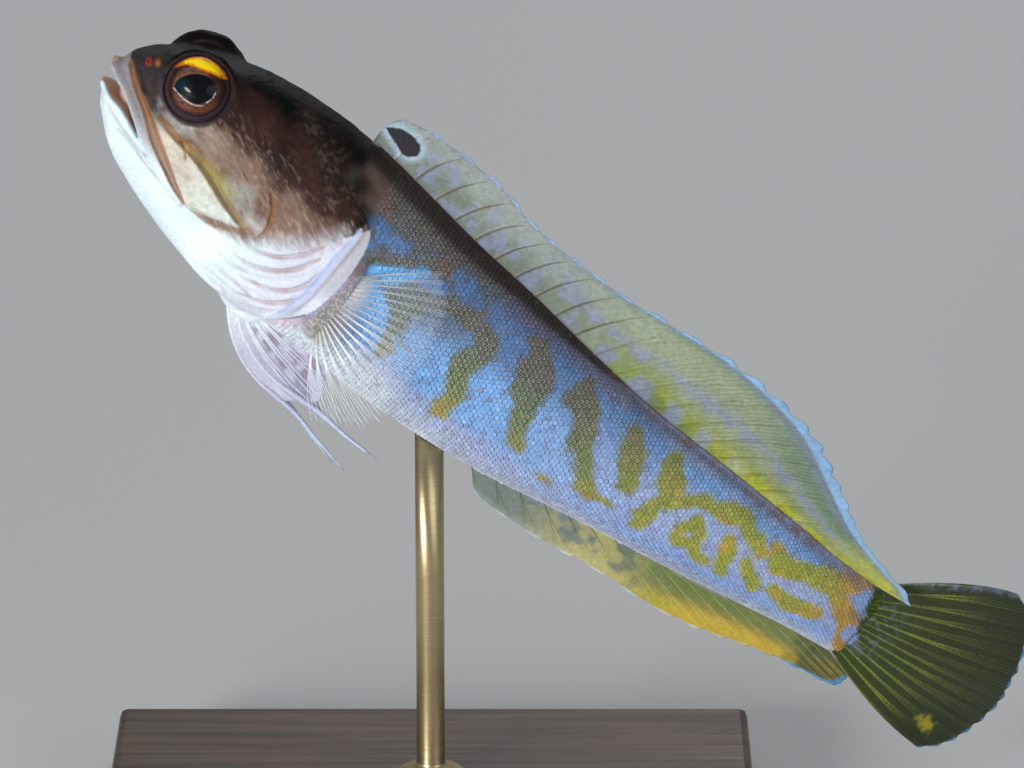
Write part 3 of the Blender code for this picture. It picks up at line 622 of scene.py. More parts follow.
# The darkest brown is the head's own dark top, deepened by painted shade.
BLACK_BROWN = colour(9, 7, 8)
DARK_BROWN = colour(38, 27, 26)
SNOUT = colour(56, 51, 54)
CHEEK_BROWN = colour(106, 78, 66)
CHEEK_MAROON = colour(70, 44, 42)
CHEEK = colour(138, 116, 102)
CHEEK_PALE = colour(154, 158, 154)
CHEEK_FLECK = colour(176, 156, 140)
CHEEK_SHADE = colour(80, 58, 48)
HEAD_GREY = colour(116, 110, 110)
BACK_BROWN = colour(56, 46, 41)
LID = colour(40, 31, 33)
WHITE = colour(226, 238, 244)
JAW_WHITE = colour(210, 228, 237)
LIP_GREY = colour(142, 138, 142)
LIP_BLUE = colour(190, 212, 226)
PLATE_FRONT = colour(198, 190, 176)
PLATE_WHITE = colour(204, 214, 208)
GROOVE = colour(138, 94, 56)
GROOVE_OLIVE = colour(136, 106, 54)
LUMP_WHITE = colour(226, 232, 228)
OLIVE_PATCH = colour(160, 156, 92)
MOUTH_RED = colour(198, 166, 148)
COVER_EDGE = colour(184, 196, 222)
COVER_BLUE = colour(116, 142, 214)
NOSTRIL_RED = colour(168, 52, 28)
NOSTRIL_ORANGE = colour(186, 106, 52)
GILL_RED = colour(168, 84, 92)
PLEAT_LINE = colour(164, 128, 124)
PLEAT_PINK = colour(200, 200, 216)
SKY = colour(110, 160, 214)
SKY_DEEP = colour(82, 118, 166)
SKY_BRIGHT = colour(104, 176, 234)
SKY_PALE = colour(134, 164, 214)
LILAC = colour(150, 166, 204)
BELLY_LILAC = colour(184, 192, 212)
BELLY_WHITE = colour(218, 230, 238)
PURPLE_GREY = colour(96, 84, 100)
OLIVE_BROWN = colour(84, 82, 68)
OLIVE = colour(82, 90, 54)
OLIVE_MID = colour(96, 106, 56)
MUSTARD = colour(140, 126, 48)
OLIVE_REAR = colour(144, 148, 26)
ORANGE_REAR = colour(184, 138, 34)
TAIL_GREEN = colour(56, 70, 22)
LOBE_GOLD = colour(126, 120, 104)
LOBE_PALE = colour(180, 178, 174)
RUST = colour(118, 88, 78)
DARK_BAND = smooth(((24, 2.6), (30, 2.4), (40, 1.9), (48, 1.3), (55, 0.3), (62, -0.6), (95, -0.6)))

# The noises that break up the paint, as shifts and sizes, and the cheek's streaks.
BODY_NOISE = ((0, 3.1), (31, 1.1), (57, 0.45))
HEAD_NOISE = ((0, 2.6), (21, 0.95), (43, 0.32))
STREAK_NOISE = ((0, 0.17), (9, 0.34))
STREAK_LEAN = math.radians(-24)
STREAK_STRETCH = 3.6

# Where along the fish one paint gives way to the next.
TO_REAR_BLUE = (42, 70)
TO_PLAIN_BELLY = (33, 44)
TO_REAR_OLIVE = (50, 74)
TO_ORANGE = (84, 90)
TO_ORANGE_FLECKS = (62, 74)
TO_CALM_BARS = (58, 70)
TO_RUST_BACK = (50, 60)
TO_NARROW_BACK = (44, 58)

# The lobe at the pectoral fin: the place of its paint, and of the patch that carries no scales.
LOBE_PAINT_AT = (29.2, -3.2)
LOBE_PAINT_SIZE = (2.2, 4.7)
LOBE_BARE_AT = (29.2, -2.7)
LOBE_BARE_SIZE = (2.5, 5.6)

# Bars and spots on the fish's left side, as pixels of the image with a half width each.
BARS = (
    ((372, 262, 8), (400, 264, 9), (432, 266, 9), (462, 282, 12)),
    ((392, 300, 10), (408, 300, 16), (424, 302, 14), (446, 304, 12), (470, 318, 12), (492, 326, 14)),
    ((400, 316, 12), (394, 330, 9), (386, 344, 8), (380, 356, 6)),
    ((490, 330, 14), (482, 350, 14), (466, 364, 13), (458, 380, 13), (452, 396, 12), (440, 410, 9)),
    (
        (538, 352, 14), (536, 366, 19), (535, 382, 20), (528, 398, 17), (522, 415, 14), (518, 432, 11),
        (516, 446, 8),
    ),
    ((582, 398, 16), (586, 415, 15), (583, 432, 14), (579, 450, 11), (580, 468, 9), (582, 484, 9)),
    ((582, 484, 9), (592, 496, 7), (603, 502, 6), (611, 507, 4)),
    ((634, 440, 12), (632, 455, 15), (630, 470, 15), (628, 484, 10)),
    ((673, 466, 12), (673, 482, 18), (670, 497, 14), (655, 506, 8), (643, 517, 12), (638, 525, 9)),
    ((676, 498, 9), (696, 502, 7), (712, 506, 8), (728, 513, 12), (742, 518, 9)),
    ((732, 507, 6), (746, 522, 9), (755, 538, 9), (760, 552, 8)),
    ((674, 534, 7), (680, 526, 7), (696, 522, 8), (699, 536, 8)),
    ((676, 540, 7), (692, 544, 9), (698, 556, 7), (706, 562, 5)),
    ((730, 541, 9), (725, 556, 9), (720, 570, 9)),
    ((746, 560, 7), (749, 574, 9), (754, 586, 8)),
    (
        (776, 552, 12), (782, 566, 13), (800, 570, 11), (816, 576, 13), (832, 584, 12), (852, 586, 11),
        (872, 582, 8),
    ),
    ((772, 590, 7), (788, 602, 10), (806, 610, 10), (818, 614, 7)),
    ((836, 590, 9), (842, 606, 11), (848, 620, 13), (848, 636, 15), (846, 652, 12)),
    ((544, 475, 4), (547, 477, 4)),
)
DEEP_PATCHES = (
    ((366, 217, 5), (371, 219, 6)),
    ((382, 224, 6), (386, 236, 8), (390, 242, 5)),
    ((398, 243, 7), (406, 246, 6)),
    ((366, 246, 4), (372, 244, 4)),
    ((460, 278, 7), (466, 288, 10), (474, 300, 8)),
    ((494, 316, 8), (506, 330, 10), (520, 346, 9)),
    ((424, 282, 6), (436, 286, 9), (446, 292, 5)),
)
BRIGHT_PATCHES = (
    ((366, 290, 12), (374, 276, 10), (396, 276, 10), (410, 275, 7), (424, 272, 5)),
    ((366, 290, 14), (372, 310, 15), (372, 330, 10), (366, 344, 6)),
)
RUST_PATCHES = (
    ((358, 158, 7), (363, 176, 8), (366, 192, 8), (368, 206, 6)),
    ((376, 172, 8), (384, 190, 12), (392, 208, 8)),
    ((446, 262, 7), (454, 276, 7)),
)
OLIVE_RUN = ((208, 166, 4), (216, 178, 7), (228, 192, 6))
WHITE_RUN = ((250, 220, 4), (260, 228, 5))
LUMP_RUN = ((252, 222, 4), (262, 228, 4))
MAROON_RUN = ((268, 128, 5), (296, 140, 7), (306, 160, 10), (314, 184, 9), (324, 204, 10))
GREY_RUN = ((306, 118, 8), (318, 140, 10), (334, 165, 15), (346, 195, 13), (350, 212, 9))
TAIL_SPOTS = (
    ((850, 635, 9), (851, 638, 9)),
    ((866, 594, 5), (862, 604, 7), (862, 610, 5)),
)
TAIL_EDGE = ((884, 566), (873, 584), (864, 604), (861, 624), (854, 642), (838, 656))
PLEATS = (
    ((240, 238), (258, 251), (280, 257), (306, 254), (324, 247)),
    ((232, 253), (254, 266), (278, 271), (300, 268), (320, 259)),
    ((240, 276), (256, 284), (272, 290), (292, 290), (310, 283), (324, 270)),
    ((238, 292), (252, 299), (268, 303), (288, 302), (302, 297)),
    ((180, 238), (190, 257), (205, 275), (226, 294)),
    ((194, 246), (210, 262), (230, 278), (250, 296)),
    ((212, 246), (230, 262), (246, 272)),
)
JAW_FOLDS = (
    ((118, 129), (131, 144), (146, 164), (156, 176)),
    ((109, 108), (121, 127), (134, 143), (147, 156)),
)
FRONT_GROOVE = ((131, 64), (136, 85), (146, 110), (156, 140), (167, 167), (176, 189), (184, 205))
FRONT_HALF = (0.12, 0.2, 0.34, 0.46, 0.4, 0.24, 0.08)
CHEEK_GROOVE = (
    (160, 117), (170, 130), (181, 141), (195, 156), (207, 172), (218, 190), (230, 208), (243, 228),
)
CHEEK_HALF = (0.12, 0.24, 0.28, 0.3, 0.32, 0.3, 0.28, 0.16)
PLATE_NOTCH = ((181, 141), (185, 150), (186, 158))
PLATE_RIDGE = ((188, 146), (200, 166), (213, 188), (224, 210))
SNOUT_FOLD = ((141, 70), (147, 92), (158, 112), (172, 126))
JAW_TOP = ((184, 205), (204, 222), (226, 236), (250, 243), (280, 247), (318, 247), (340, 240))
HOOK = ((271, 194), (273, 207), (271, 220), (266, 232), (256, 240))
COVER_STRIP = ((361, 230), (349, 246), (334, 264), (318, 284), (302, 300), (286, 311), (268, 318))

# The same lines in the side view of the straight fish.
PLATE_ZONE = np.vstack((seen_at(FRONT_GROOVE), seen_at(CHEEK_GROOVE)[::-1]))
FRONT_LINE = rounded(seen_at(FRONT_GROOVE), 3)
CHEEK_LINE = rounded(seen_at(CHEEK_GROOVE), 3)
NOTCH_LINE = seen_at(PLATE_NOTCH)
SNOUT_LINE = rounded(seen_at(SNOUT_FOLD), 3)
HOOK_LINE = rounded(seen_at(HOOK), 3)
STRIP_LINE = rounded(seen_at(COVER_STRIP), 3)
JAW_LINE = seen_at(JAW_TOP)
TAIL_LINE = rounded(seen_at(TAIL_EDGE), 3)
RIDGE_LINE = seen_at(PLATE_RIDGE)
PLEAT_LINES = [rounded(seen_at(line), 3) for line in PLEATS]
FOLD_LINES = [rounded(seen_at(line), 3) for line in JAW_FOLDS]

# Light and dark areas of the cheek: place in the image, half length and height, tint, strength.
CHEEK_AREAS = (
    ((245, 115), (4.0, 2.2), CHEEK_MAROON, 0.5),
    ((197, 128), (3.6, 1.3), CHEEK_PALE, 0.95),
    ((174, 122), (1.8, 1.5), CHEEK_PALE, 0.6),
    ((215, 150), (3.2, 2.0), CHEEK, 0.85),
    ((250, 178), (2.8, 2.2), CHEEK, 0.7),
    ((232, 200), (2.2, 2.4), CHEEK_PALE, 0.7),
    ((285, 218), (2.6, 2.4), CHEEK, 0.7),
    ((318, 232), (2.6, 1.6), CHEEK, 0.45),
)

# The millimetres of the fish's side in one pixel of the image.
PIXEL = 0.097


def strip(s, h, line, half, soft):
    """How strongly a painted strip along a line covers points. half may differ along it."""
    gap, share = to_line(s, h, line)[:2]
    reach = np.interp(share, np.linspace(0, 1, np.size(half)), np.atleast_1d(half))
    return 1 - ramp(reach, reach + soft, gap)


def spot_reach(s, h, centre, size):
    """How far out of a stretched round spot in the side view points lie, 1 on its rim."""
    return np.hypot((s - centre[0]) / size[0], (h - centre[1]) / size[1])


def capsules(s, h, spots, soft):
    """How strongly a chain of round spots covers points, with ragged edges."""
    places = seen_at([spot[:2] for spot in spots])
    sizes = np.array([spot[2] for spot in spots]) * PIXEL
    gap, share = to_line(s, h, places)[:2]
    runs = np.hypot(*np.diff(places, axis=0).T)
    at = np.concatenate(([0], np.cumsum(runs))) / runs.sum()
    return 1 - ramp(-soft, soft, gap - np.interp(share, at, sizes))


def bar_cover(s, w, h):
    """How strongly the olive bars cover points of the body."""
    spots = np.column_stack((s, np.abs(w), h))
    calm = lerp(1.0, 0.6, ramp(*TO_CALM_BARS, s))
    ragged_s = s + calm * (0.5 * noise(spots, 1.6) + 0.25 * noise(spots + 9, 0.6))
    ragged_h = h + calm * (0.5 * noise(spots + 5, 1.6) + 0.25 * noise(spots + 14, 0.6))
    cover = np.zeros(len(s))
    for bar in BARS:
        cover = np.maximum(cover, capsules(ragged_s, ragged_h, bar, 0.35))
    return cover


def rise_of(s, h):
    """How high on the body a point is: 1 on the back, 0 at the widest and -1 on the belly."""
    middle = WIDEST(s)
    return np.where(h > middle, (h - middle) / (BACK(s) - middle), (h - middle) / (middle - BELLY(s)))


def body_colour(s, w, h):
    """The colours of the trunk and tail."""
    spots = np.column_stack((s, np.abs(w), h))
    broad, mid, fine = noises(spots, *BODY_NOISE)
    rise = rise_of(s, h)
    wavy = rise + 0.07 * broad + 0.05 * mid
    front = stops(
        wavy, (-1.0, BELLY_WHITE), (-0.86, BELLY_LILAC), (-0.55, LILAC), (-0.3, SKY), (0.2, SKY),
        (0.5, SKY_DEEP), (0.8, SKY_DEEP * 0.8), (0.95, PURPLE_GREY),
    )
    rear = stops(
        wavy, (-1.0, BELLY_LILAC), (-0.7, SKY_PALE), (-0.2, LILAC), (0.2, LILAC),
        (0.55, SKY_PALE * 0.95), (0.8, SKY), (1.0, LILAC),
    )
    tint = over(front, rear, ramp(*TO_REAR_BLUE, s))
    white = (1 - ramp(*TO_PLAIN_BELLY, s)) * (1 - ramp(-0.7, -0.3, wavy))
    tint = over(tint, BELLY_WHITE, white * 0.9)
    bars = bar_cover(s, w, h)
    olive = stops(
        wavy, (-0.75, MUSTARD), (-0.45, MUSTARD), (-0.1, OLIVE_MID), (0.2, OLIVE), (0.45, OLIVE_BROWN),
    )
    olive = over(olive, OLIVE_REAR, ramp(*TO_REAR_OLIVE, s))
    orange = np.maximum(ramp(*TO_ORANGE, s), 0.6 * ramp(0.1, 0.5, mid) * ramp(*TO_ORANGE_FLECKS, s))
    olive = over(olive, ORANGE_REAR, orange * 0.85)
    tint = over(tint, olive, bars * 0.97)
    brown = (1 - ramp(35, 43, s - 3 * rise + 0.8 * broad)) * ramp(0.05, 0.3, wavy) * (1 - bars)
    tint = over(tint, OLIVE_BROWN, brown * 0.85)
    for patch in RUST_PATCHES:
        tint = over(tint, RUST * 0.8, capsules(s + 0.5 * mid, h + 0.4 * broad, patch, 0.6) * 0.55)
    for sky, patches in ((SKY_DEEP, DEEP_PATCHES), (SKY_BRIGHT, BRIGHT_PATCHES)):
        for patch in patches:
            blue = capsules(s + 0.35 * mid + 0.2 * fine, h + 0.3 * broad + 0.2 * fine, patch, 0.35)
            tint = over(tint, sky, blue * 0.9)
    wide = DARK_BAND(s) + 0.3 * broad + 0.15 * mid
    soft = lerp(1.2, 0.5, ramp(*TO_NARROW_BACK, s))
    dark = (1 - ramp(wide, wide + soft, np.abs(w))) * (h > 0)
    tint = over(tint, BACK_BROWN, dark * 0.95)
    rust = (1 - ramp(0.5, 1.5, np.abs(w))) * (h > 0) * ramp(*TO_RUST_BACK, s)
    tint = over(tint, PURPLE_GREY, rust * 0.5)
    tint = over(tint, RUST, rust * 0.7 * ramp(-0.3, 0.3, fine + mid))
    past = signed_gap(s, h, TAIL_LINE)
    green = over(TAIL_GREEN, LILAC * 0.8, ramp(0.1, 0.5, mid) * (1 - ramp(2, 4, past)) * 0.6)
    green = over(green, FIN_RAY_GREEN, tail_rays(s, h) * 0.4 * ramp(0.5, 2.0, past))
    tint = over(tint, green, ramp(-0.4, 0.4, past + 0.4 * mid))
    for spot in TAIL_SPOTS:
        tint = over(tint, SKY_PALE, capsules(s, h, spot, 0.3) * 0.9)
    return tint * (1 + 0.08 * mid + 0.08 * fine)[:, None]


def tail_rays(s, h):
    """How strongly the tail fin's rays show through the skin ahead of that fin."""
    ahead = CAUDAL_ROOT - s
    top = CAUDAL_SPAN[0] - 0.45 * ahead
    low = CAUDAL_SPAN[1] + 0.28 * ahead
    place = (top - h) / np.maximum(top - low, 0.5) * (CAUDAL_RAYS - 1)
    inside = (place > -0.4) & (place < CAUDAL_RAYS - 0.6) & (ahead < 6)
    return (1 - ramp(0.1, 0.3, np.abs(place - np.round(place)))) * inside


def dark_on_back(s, w, h):
    """How far the plain dark skin of the back, which hides the scales' rims, covers points."""
    wide = DARK_BAND(s)
    return (1 - ramp(wide, wide + 1.2, np.abs(w))) * (h > 0)


def streaks(spots):
    """Two noises drawn out along the cheek's fine streaks, which run down and to the rear."""
    drawn = []
    for shift, size in STREAK_NOISE:
        s, w, h = (spots + shift).T
        along = s * math.cos(STREAK_LEAN) + h * math.sin(STREAK_LEAN)
        off = -s * math.sin(STREAK_LEAN) + h * math.cos(STREAK_LEAN)
        drawn.append(noise(np.column_stack((along / STREAK_STRETCH, w, off)), size))
    return drawn


def head_colour(s, w, h):
    """The colours of the head, jaw, throat and gill covers."""
    spots = np.column_stack((s, np.abs(w), h))
    broad, mid, fine = noises(spots, *HEAD_NOISE)
    thin, wide = streaks(spots)
    thin = 0.6 * thin + 0.5 * wide
    rise = rise_of(s, h)
    # The head darkens towards its top: its own dark brown, deepened near the top by painted shade.
    tint = stops(
        rise + 0.06 * broad + 0.04 * mid, (-0.6, CHEEK_PALE), (-0.25, CHEEK), (0.0, CHEEK_BROWN),
        (0.34, lerp(CHEEK_BROWN, CHEEK_MAROON, 0.7)), (0.55, DARK_BROWN), (0.72, BLACK_BROWN),
    )
    snout = 1 - ramp(2.5, 7.5, s - 0.3 * h)
    tint = over(tint, SNOUT, snout * 0.85 * (1 - ramp(3.5, 6.0, h)))
    for place, size, dark, share in CHEEK_AREAS:
        centre = seen_at([place])[0]
        reach = spot_reach(s, h, centre, size)
        tint = over(tint, dark, (1 - ramp(0.5, 1.3, reach + 0.3 * mid + 0.2 * thin)) * share)
    flecked = (1 - ramp(0.4, 0.75, rise)) * ramp(3, 7, s)
    tint = over(tint, CHEEK_FLECK, ramp(0.1, 0.5, thin) * 0.38 * flecked)
    tint = over(tint, CHEEK_SHADE, ramp(0.12, 0.6, -thin) * 0.35 * flecked)
    ragged_s, ragged_h = s + 0.4 * mid, h + 0.3 * broad
    grey = capsules(ragged_s, ragged_h, GREY_RUN, 0.9)
    tint = over(tint, CHEEK_SHADE * 0.8, grey * 0.25)
    tint = over(tint, HEAD_GREY, grey * ramp(-0.2, 0.7, 0.6 * thin + fine) * 0.17)
    plain = capsules(ragged_s, ragged_h, MAROON_RUN, 1.4)
    tint = over(tint, CHEEK_MAROON * 0.85, plain * 0.75)
    across, along = eye_place(s, w, h)
    rim = (1 - ramp(3.35, 3.65, across + 0.1 * mid)) * ramp(-1.6, -0.8, along)
    tint = over(tint, LID, rim * 0.9)
    glow = band(across, 3.5, 0.02, 0.08) * rim * ramp(-0.5, 0.2, mid)
    tint = over(tint, CHEEK_BROWN, glow * 0.5)
    off = h - mouth_middle(s)
    plate = inside_of(s, h, PLATE_ZONE)
    blade = lerp(PLATE_FRONT, PLATE_WHITE, ramp(8, 15, s)[:, None])
    blade = over(blade, SNOUT, 1 - ramp(3.0, 6.5, s))
    blade = over(blade, CHEEK, ramp(0.1, 0.6, mid) * 0.3)
    tint = over(tint, blade, 1 - ramp(-0.1, 0.3, plate))
    before = (1 - ramp(-0.1, 0.1, signed_gap(s, h, FRONT_LINE))) * (off > -0.1) * (s < 14)
    lip = lerp(LIP_GREY, WHITE, ramp(2.0, 9.0, s + 0.5 * broad)[:, None])
    lip = over(lip, LIP_BLUE, (1 - ramp(0.0, 0.4, off - MOUTH_GAPE(s) / 2)) * 0.6)
    tint = over(tint, lip, before)
    tint = over(tint, GROOVE, strip(s, h, FRONT_LINE, FRONT_HALF, 0.3) * 0.8)
    faint = strip(s, h, CHEEK_LINE, CHEEK_HALF, 0.24)
    tint = over(tint, lerp(GROOVE, GROOVE_OLIVE, ramp(6, 10, s)[:, None]), faint * 0.78)
    tint = over(tint, GROOVE_OLIVE, strip(s, h, NOTCH_LINE, (0.1, 0.02), 0.16) * 0.7)
    tint = over(tint, BLACK_BROWN, strip(s, h, SNOUT_LINE, 0.04, 0.2) * 0.3)
    tint = over(tint, OLIVE_PATCH, capsules(s + 0.2 * mid, h, OLIVE_RUN, 0.7) * 0.6)
    tint = over(tint, LUMP_WHITE, capsules(s, h, WHITE_RUN, 0.9) * 0.55)
    tint = over(tint, GROOVE, strip(s, h, HOOK_LINE, (0.02, 0.1, 0.18, 0.18, 0.02), 0.2) * 0.7)
    below = -np.where(s < JAW_LINE[0, 0], off, signed_gap(s, h, JAW_LINE))
    soft = ramp(14, 21, s)
    below = below + (0.4 * broad + 0.5 * thin) * ramp(13, 19, s)
    jaw = ramp(-0.18 - 1.7 * soft, 0.25 + 0.9 * soft, below)
    jaw_tint = lerp(JAW_WHITE, WHITE * 0.97, ramp(-0.4, 0.6, broad)[:, None])
    jaw_tint = over(jaw_tint, PLEAT_PINK, ramp(17, 24, s) * 0.7)
    jaw_tint = over(jaw_tint, HEAD_GREY, ramp(-3.4, -1.6, h + 0.5 * mid) * ramp(25.5, 27.5, s) * 0.35)
    tint = over(tint, jaw_tint, jaw)
    for line in PLEAT_LINES:
        lined = strip(s, h, line, (0.0, 0.06, 0.12, 0.14, 0.05), 0.2) * ramp(15, 22, s)
        tint = over(tint, PLEAT_LINE, lined * (0.5 + 0.3 * mid) * lerp(0.45, 1.0, ramp(-11, -6, h)))
    for line in FOLD_LINES:
        tint = over(tint, LIP_GREY, strip(s, h, line, (0.0, 0.06, 0.0), 0.22) * 0.5)
    gap, share, side = to_line(s, h, STRIP_LINE)
    reach = np.interp(share, (0, 0.2, 0.5, 0.8, 1), (0.05, 0.34, 0.5, 0.36, 0.02))
    edge = (1 - ramp(reach, reach + 0.25, gap)) * (1 - ramp(0.85, 1.0, share))
    tint = over(tint, COVER_EDGE, edge * 0.85)
    tint = over(tint, COVER_BLUE, band(gap * side, -0.36, 0.02, 0.2) * edge * 0.45)
    tint = over(tint, PLEAT_LINE, band(gap * side, 0.5, 0.05, 0.25) * (1 - ramp(0.6, 0.9, share)) * 0.4)
    for (at, height), size, dot in zip(NOSTRIL_PLACES, NOSTRIL_SIZES, (NOSTRIL_RED, NOSTRIL_ORANGE)):
        near = 1 - ramp(0.4 * size, size + 0.3, np.hypot(s - at, h - height))
        tint = over(tint, dot, near * 0.85)
    inner = (body_distance(s, w, h) < -0.4) & (np.abs(off) < 1.6) & (s < MOUTH_CUT_END)
    # The mouth's lining darkens farther back inside, as painted shade.
    deep = lerp(MOUTH_RED, MOUTH_RED * 0.6, ramp(2, 6, s)[:, None])
    tint = np.where(inner[:, None], deep, tint)
    rough = 1 - np.clip(jaw + before, 0, 1)
    return tint * (1 + (0.07 * mid + 0.12 * fine) * (0.15 + 0.85 * rough))[:, None]


def skin_colour(s, w, h):
    """The colours of the whole skin at points of the straight fish."""
    behind = gill_step(s, h)
    spread = 1.6 * ramp(4.5, 7.0, h)
    change = ramp(-spread, 0.12 + spread, behind + 0.7 * spread * noise(np.column_stack((s, w, h)), 1.5))
    tint = over(head_colour(s, w, h), body_colour(s, w, h), change)
    red = (1 - ramp(0.4, 2.2, behind)) * ramp(0.0, 0.1, behind) * (1 - ramp(0.5, 3.0, h)) * ramp(-10, -8, h)
    tint = over(tint, GILL_RED, red * 0.4)
    spots = np.column_stack((s, np.abs(w), h))
    lobe = spot_reach(s, h, LOBE_PAINT_AT, LOBE_PAINT_SIZE)
    lobe = (1 - ramp(0.4, 1.3, lobe + 0.2 * noise(spots, 0.7))) * ramp(0.0, 0.5, behind)
    speckle = ramp(-0.15, 0.4, noise(spots + 3, 0.17))
    gold = lerp(LOBE_GOLD, LOBE_PALE, speckle[:, None] * 0.8)
    return np.clip(over(tint, gold, lobe * 0.85), 0.0, 1.0)


# Meshes

def linked(name, data):
    """A new object of the scene that shows a mesh, a lamp or a camera."""
    item = bpy.data.objects.new(name, data)
    bpy.context.scene.collection.objects.link(item)
    return item


def set_mesh(name, placed, groups, flat_ends=False):
    """An object from points in metres and groups of faces, smooth but for the ends of a rod."""
    mesh = bpy.data.meshes.new(name)
    mesh.vertices.add(len(placed))
    mesh.vertices.foreach_set("co", placed.astype(np.float32).ravel())
    corners = np.concatenate([np.ravel(faces) for faces in groups]).astype(np.int32)
    sides = np.concatenate([np.full(len(faces), faces.shape[1]) for faces in groups])
    mesh.loops.add(len(corners))
    mesh.loops.foreach_set("vertex_index", corners)
    mesh.polygons.add(len(sides))
    mesh.polygons.foreach_set("loop_start", (np.cumsum(sides) - sides).astype(np.int32))
    mesh.polygons.foreach_set("use_smooth", (sides <= 4) | (not flat_ends))
    mesh.update(calc_edges=True)
    return linked(name, mesh)


def new_mesh(name, points, groups, tints):
    """An object in place over the stand, from points of the straight fish in millimetres."""
    item = set_mesh(name, pose(points) * METRE, groups)
    layer = item.data.color_attributes.new("paint", "FLOAT_COLOR", "POINT")
    if tints.shape[1] == 3:
        tints = np.column_stack((tints, np.ones(len(tints))))
    layer.data.foreach_set("color", tints.astype(np.float32).ravel())
    return item


def tube_faces(rings, turns, first=0):
    """The numbers of the points on a tube's rings, and the faces with four corners between them."""
    index = first + np.arange(rings * turns).reshape(rings, turns)
    ahead = np.roll(index, -1, axis=1)
    return index, np.stack((index[:-1], ahead[:-1], ahead[1:], index[1:]), -1).reshape(-1, 4)


def relief(s, w, h):
    """How far the skin's folds and plates stand out of the plain field, in millimetres."""
    side = np.abs(w)
    spots = np.column_stack((s, side, h))
    rise = np.zeros(len(s))
    head = 1 - ramp(-0.1, 0.1, gill_step(s, h))
    out = ramp(0.8, 1.6, side)
    plate = inside_of(s, h, PLATE_ZONE)
    rise += 0.28 * (1 - ramp(-0.35, 0.1, plate)) * out
    rise -= 0.16 * band(h, mouth_middle(s), 0.03, 0.35) * ramp(4, 7, s) * (1 - ramp(12, 16, s))
    rise -= 0.3 * strip(s, h, FRONT_LINE, np.array(FRONT_HALF) * 0.7, 0.25) * out
    rise -= 0.3 * strip(s, h, CHEEK_LINE, np.array(CHEEK_HALF) * 0.6, 0.25) * out
    rise -= 0.2 * strip(s, h, NOTCH_LINE, 0.02, 0.2)
    rise += 0.16 * strip(s, h, RIDGE_LINE, 0.02, 0.5)
    rise -= 0.16 * strip(s, h, SNOUT_LINE, 0.02, 0.3) * out
    rise += 0.25 * capsules(s, h, LUMP_RUN, 0.5)
    rise -= 0.26 * strip(s, h, HOOK_LINE, (0.02, 0.1, 0.12, 0.02), 0.22)
    for line in PLEAT_LINES:
        gap, share = to_line(s, h, line)[:2]
        fade = ramp(0.0, 0.3, share) * (1 - ramp(0.8, 1.0, share))
        rise += (-0.3 * np.exp(-((gap / 0.17) ** 2)) + 0.14 * np.exp(-(((gap - 0.5) / 0.35) ** 2))) * fade
    for line in FOLD_LINES:
        rise -= 0.14 * strip(s, h, line, 0.03, 0.28)
    rise += 0.16 * (1 - ramp(0.2, 0.75, to_line(s, h, STRIP_LINE)[0])) * head
    above = ramp(-0.4, 0.4, signed_gap(s, h, JAW_LINE))
    rise += head * (0.05 * noise(spots, 1.2) + 0.03 * noise(spots + 40, 0.5)) * lerp(0.3, 1.0, above)
    cheek = ramp(5, 8, s) * (1 - ramp(0.35, 0.7, rise_of(s, h)))
    cheek = cheek * ramp(-0.2, 0.2, signed_gap(s, h, JAW_LINE))
    rise += head * 0.05 * sum(streaks(spots)) * cheek
    rise += 0.07 * tail_rays(s, h) * ramp(0.0, 1.0, signed_gap(s, h, TAIL_LINE))
    return rise


# Materials

def node_material(name):
    """A new material, with its nodes, its links and its surface shader."""
    paint = bpy.data.materials.new(name)
    paint.use_nodes = True
    nodes, links = paint.node_tree.nodes, paint.node_tree.links
    return paint, nodes, links, nodes["Principled BSDF"]


def painted_material(name, grain, spread, values, detail=2.0, bump=None, clear=False):
    """Wet tissue whose colour comes from its points, with a fine grain over it.

    spread says how far the grain's middle range darkens and lightens, bump is a strength and a
    depth, and a clear material also takes its alpha from its points."""
    paint, nodes, links, shader = node_material(name)
    tint = nodes.new("ShaderNodeAttribute")
    tint.attribute_name = "paint"
    where = nodes.new("ShaderNodeTexCoord")
    speckle = nodes.new("ShaderNodeTexNoise")
    speckle.inputs["Scale"].default_value = grain
    speckle.inputs["Detail"].default_value = detail
    links.new(where.outputs["Object"], speckle.inputs["Vector"])
    contrast = nodes.new("ShaderNodeMapRange")
    for socket, value in zip(("From Min", "From Max", "To Min", "To Max"), spread):
        contrast.inputs[socket].default_value = value
    links.new(speckle.outputs["Fac"], contrast.inputs["Value"])
    shade = nodes.new("ShaderNodeMix")
    shade.data_type = "RGBA"
    shade.blend_type = "MULTIPLY"
    shade.inputs["Factor"].default_value = 1.0
    links.new(tint.outputs["Color"], shade.inputs["A"])
    links.new(contrast.outputs["Result"], shade.inputs["B"])
    links.new(shade.outputs["Result"], shader.inputs["Base Color"])
    if clear:
        links.new(tint.outputs["Alpha"], shader.inputs["Alpha"])
    if bump:
        add_bump(nodes, links, speckle.outputs["Fac"], shader, *bump)
    for socket, value in values.items():
        shader.inputs[socket].default_value = value
    return paint


def add_bump(nodes, links, height, shader, strength, depth):
    """Raises a material's surface by a pattern."""
    bump = nodes.new("ShaderNodeBump")
    bump.inputs["Strength"].default_value = strength
    bump.inputs["Distance"].default_value = depth
    links.new(height, bump.inputs["Height"])
    links.new(bump.outputs["Normal"], shader.inputs["Normal"])


def skin_material(name, grain, depth, roughness, shine, coat):
    """Wet skin or scales."""
    return painted_material(
        name, grain, (0.3, 0.7, 0.92, 1.08), {
            "Roughness": roughness, "Specular IOR Level": shine, "Subsurface Weight": 0.08,
            "Subsurface Radius": (0.0012, 0.0006, 0.0004), "Coat Weight": coat, "Coat Roughness": 0.15,
        }, detail=3.0, bump=(0.35, depth),
    )


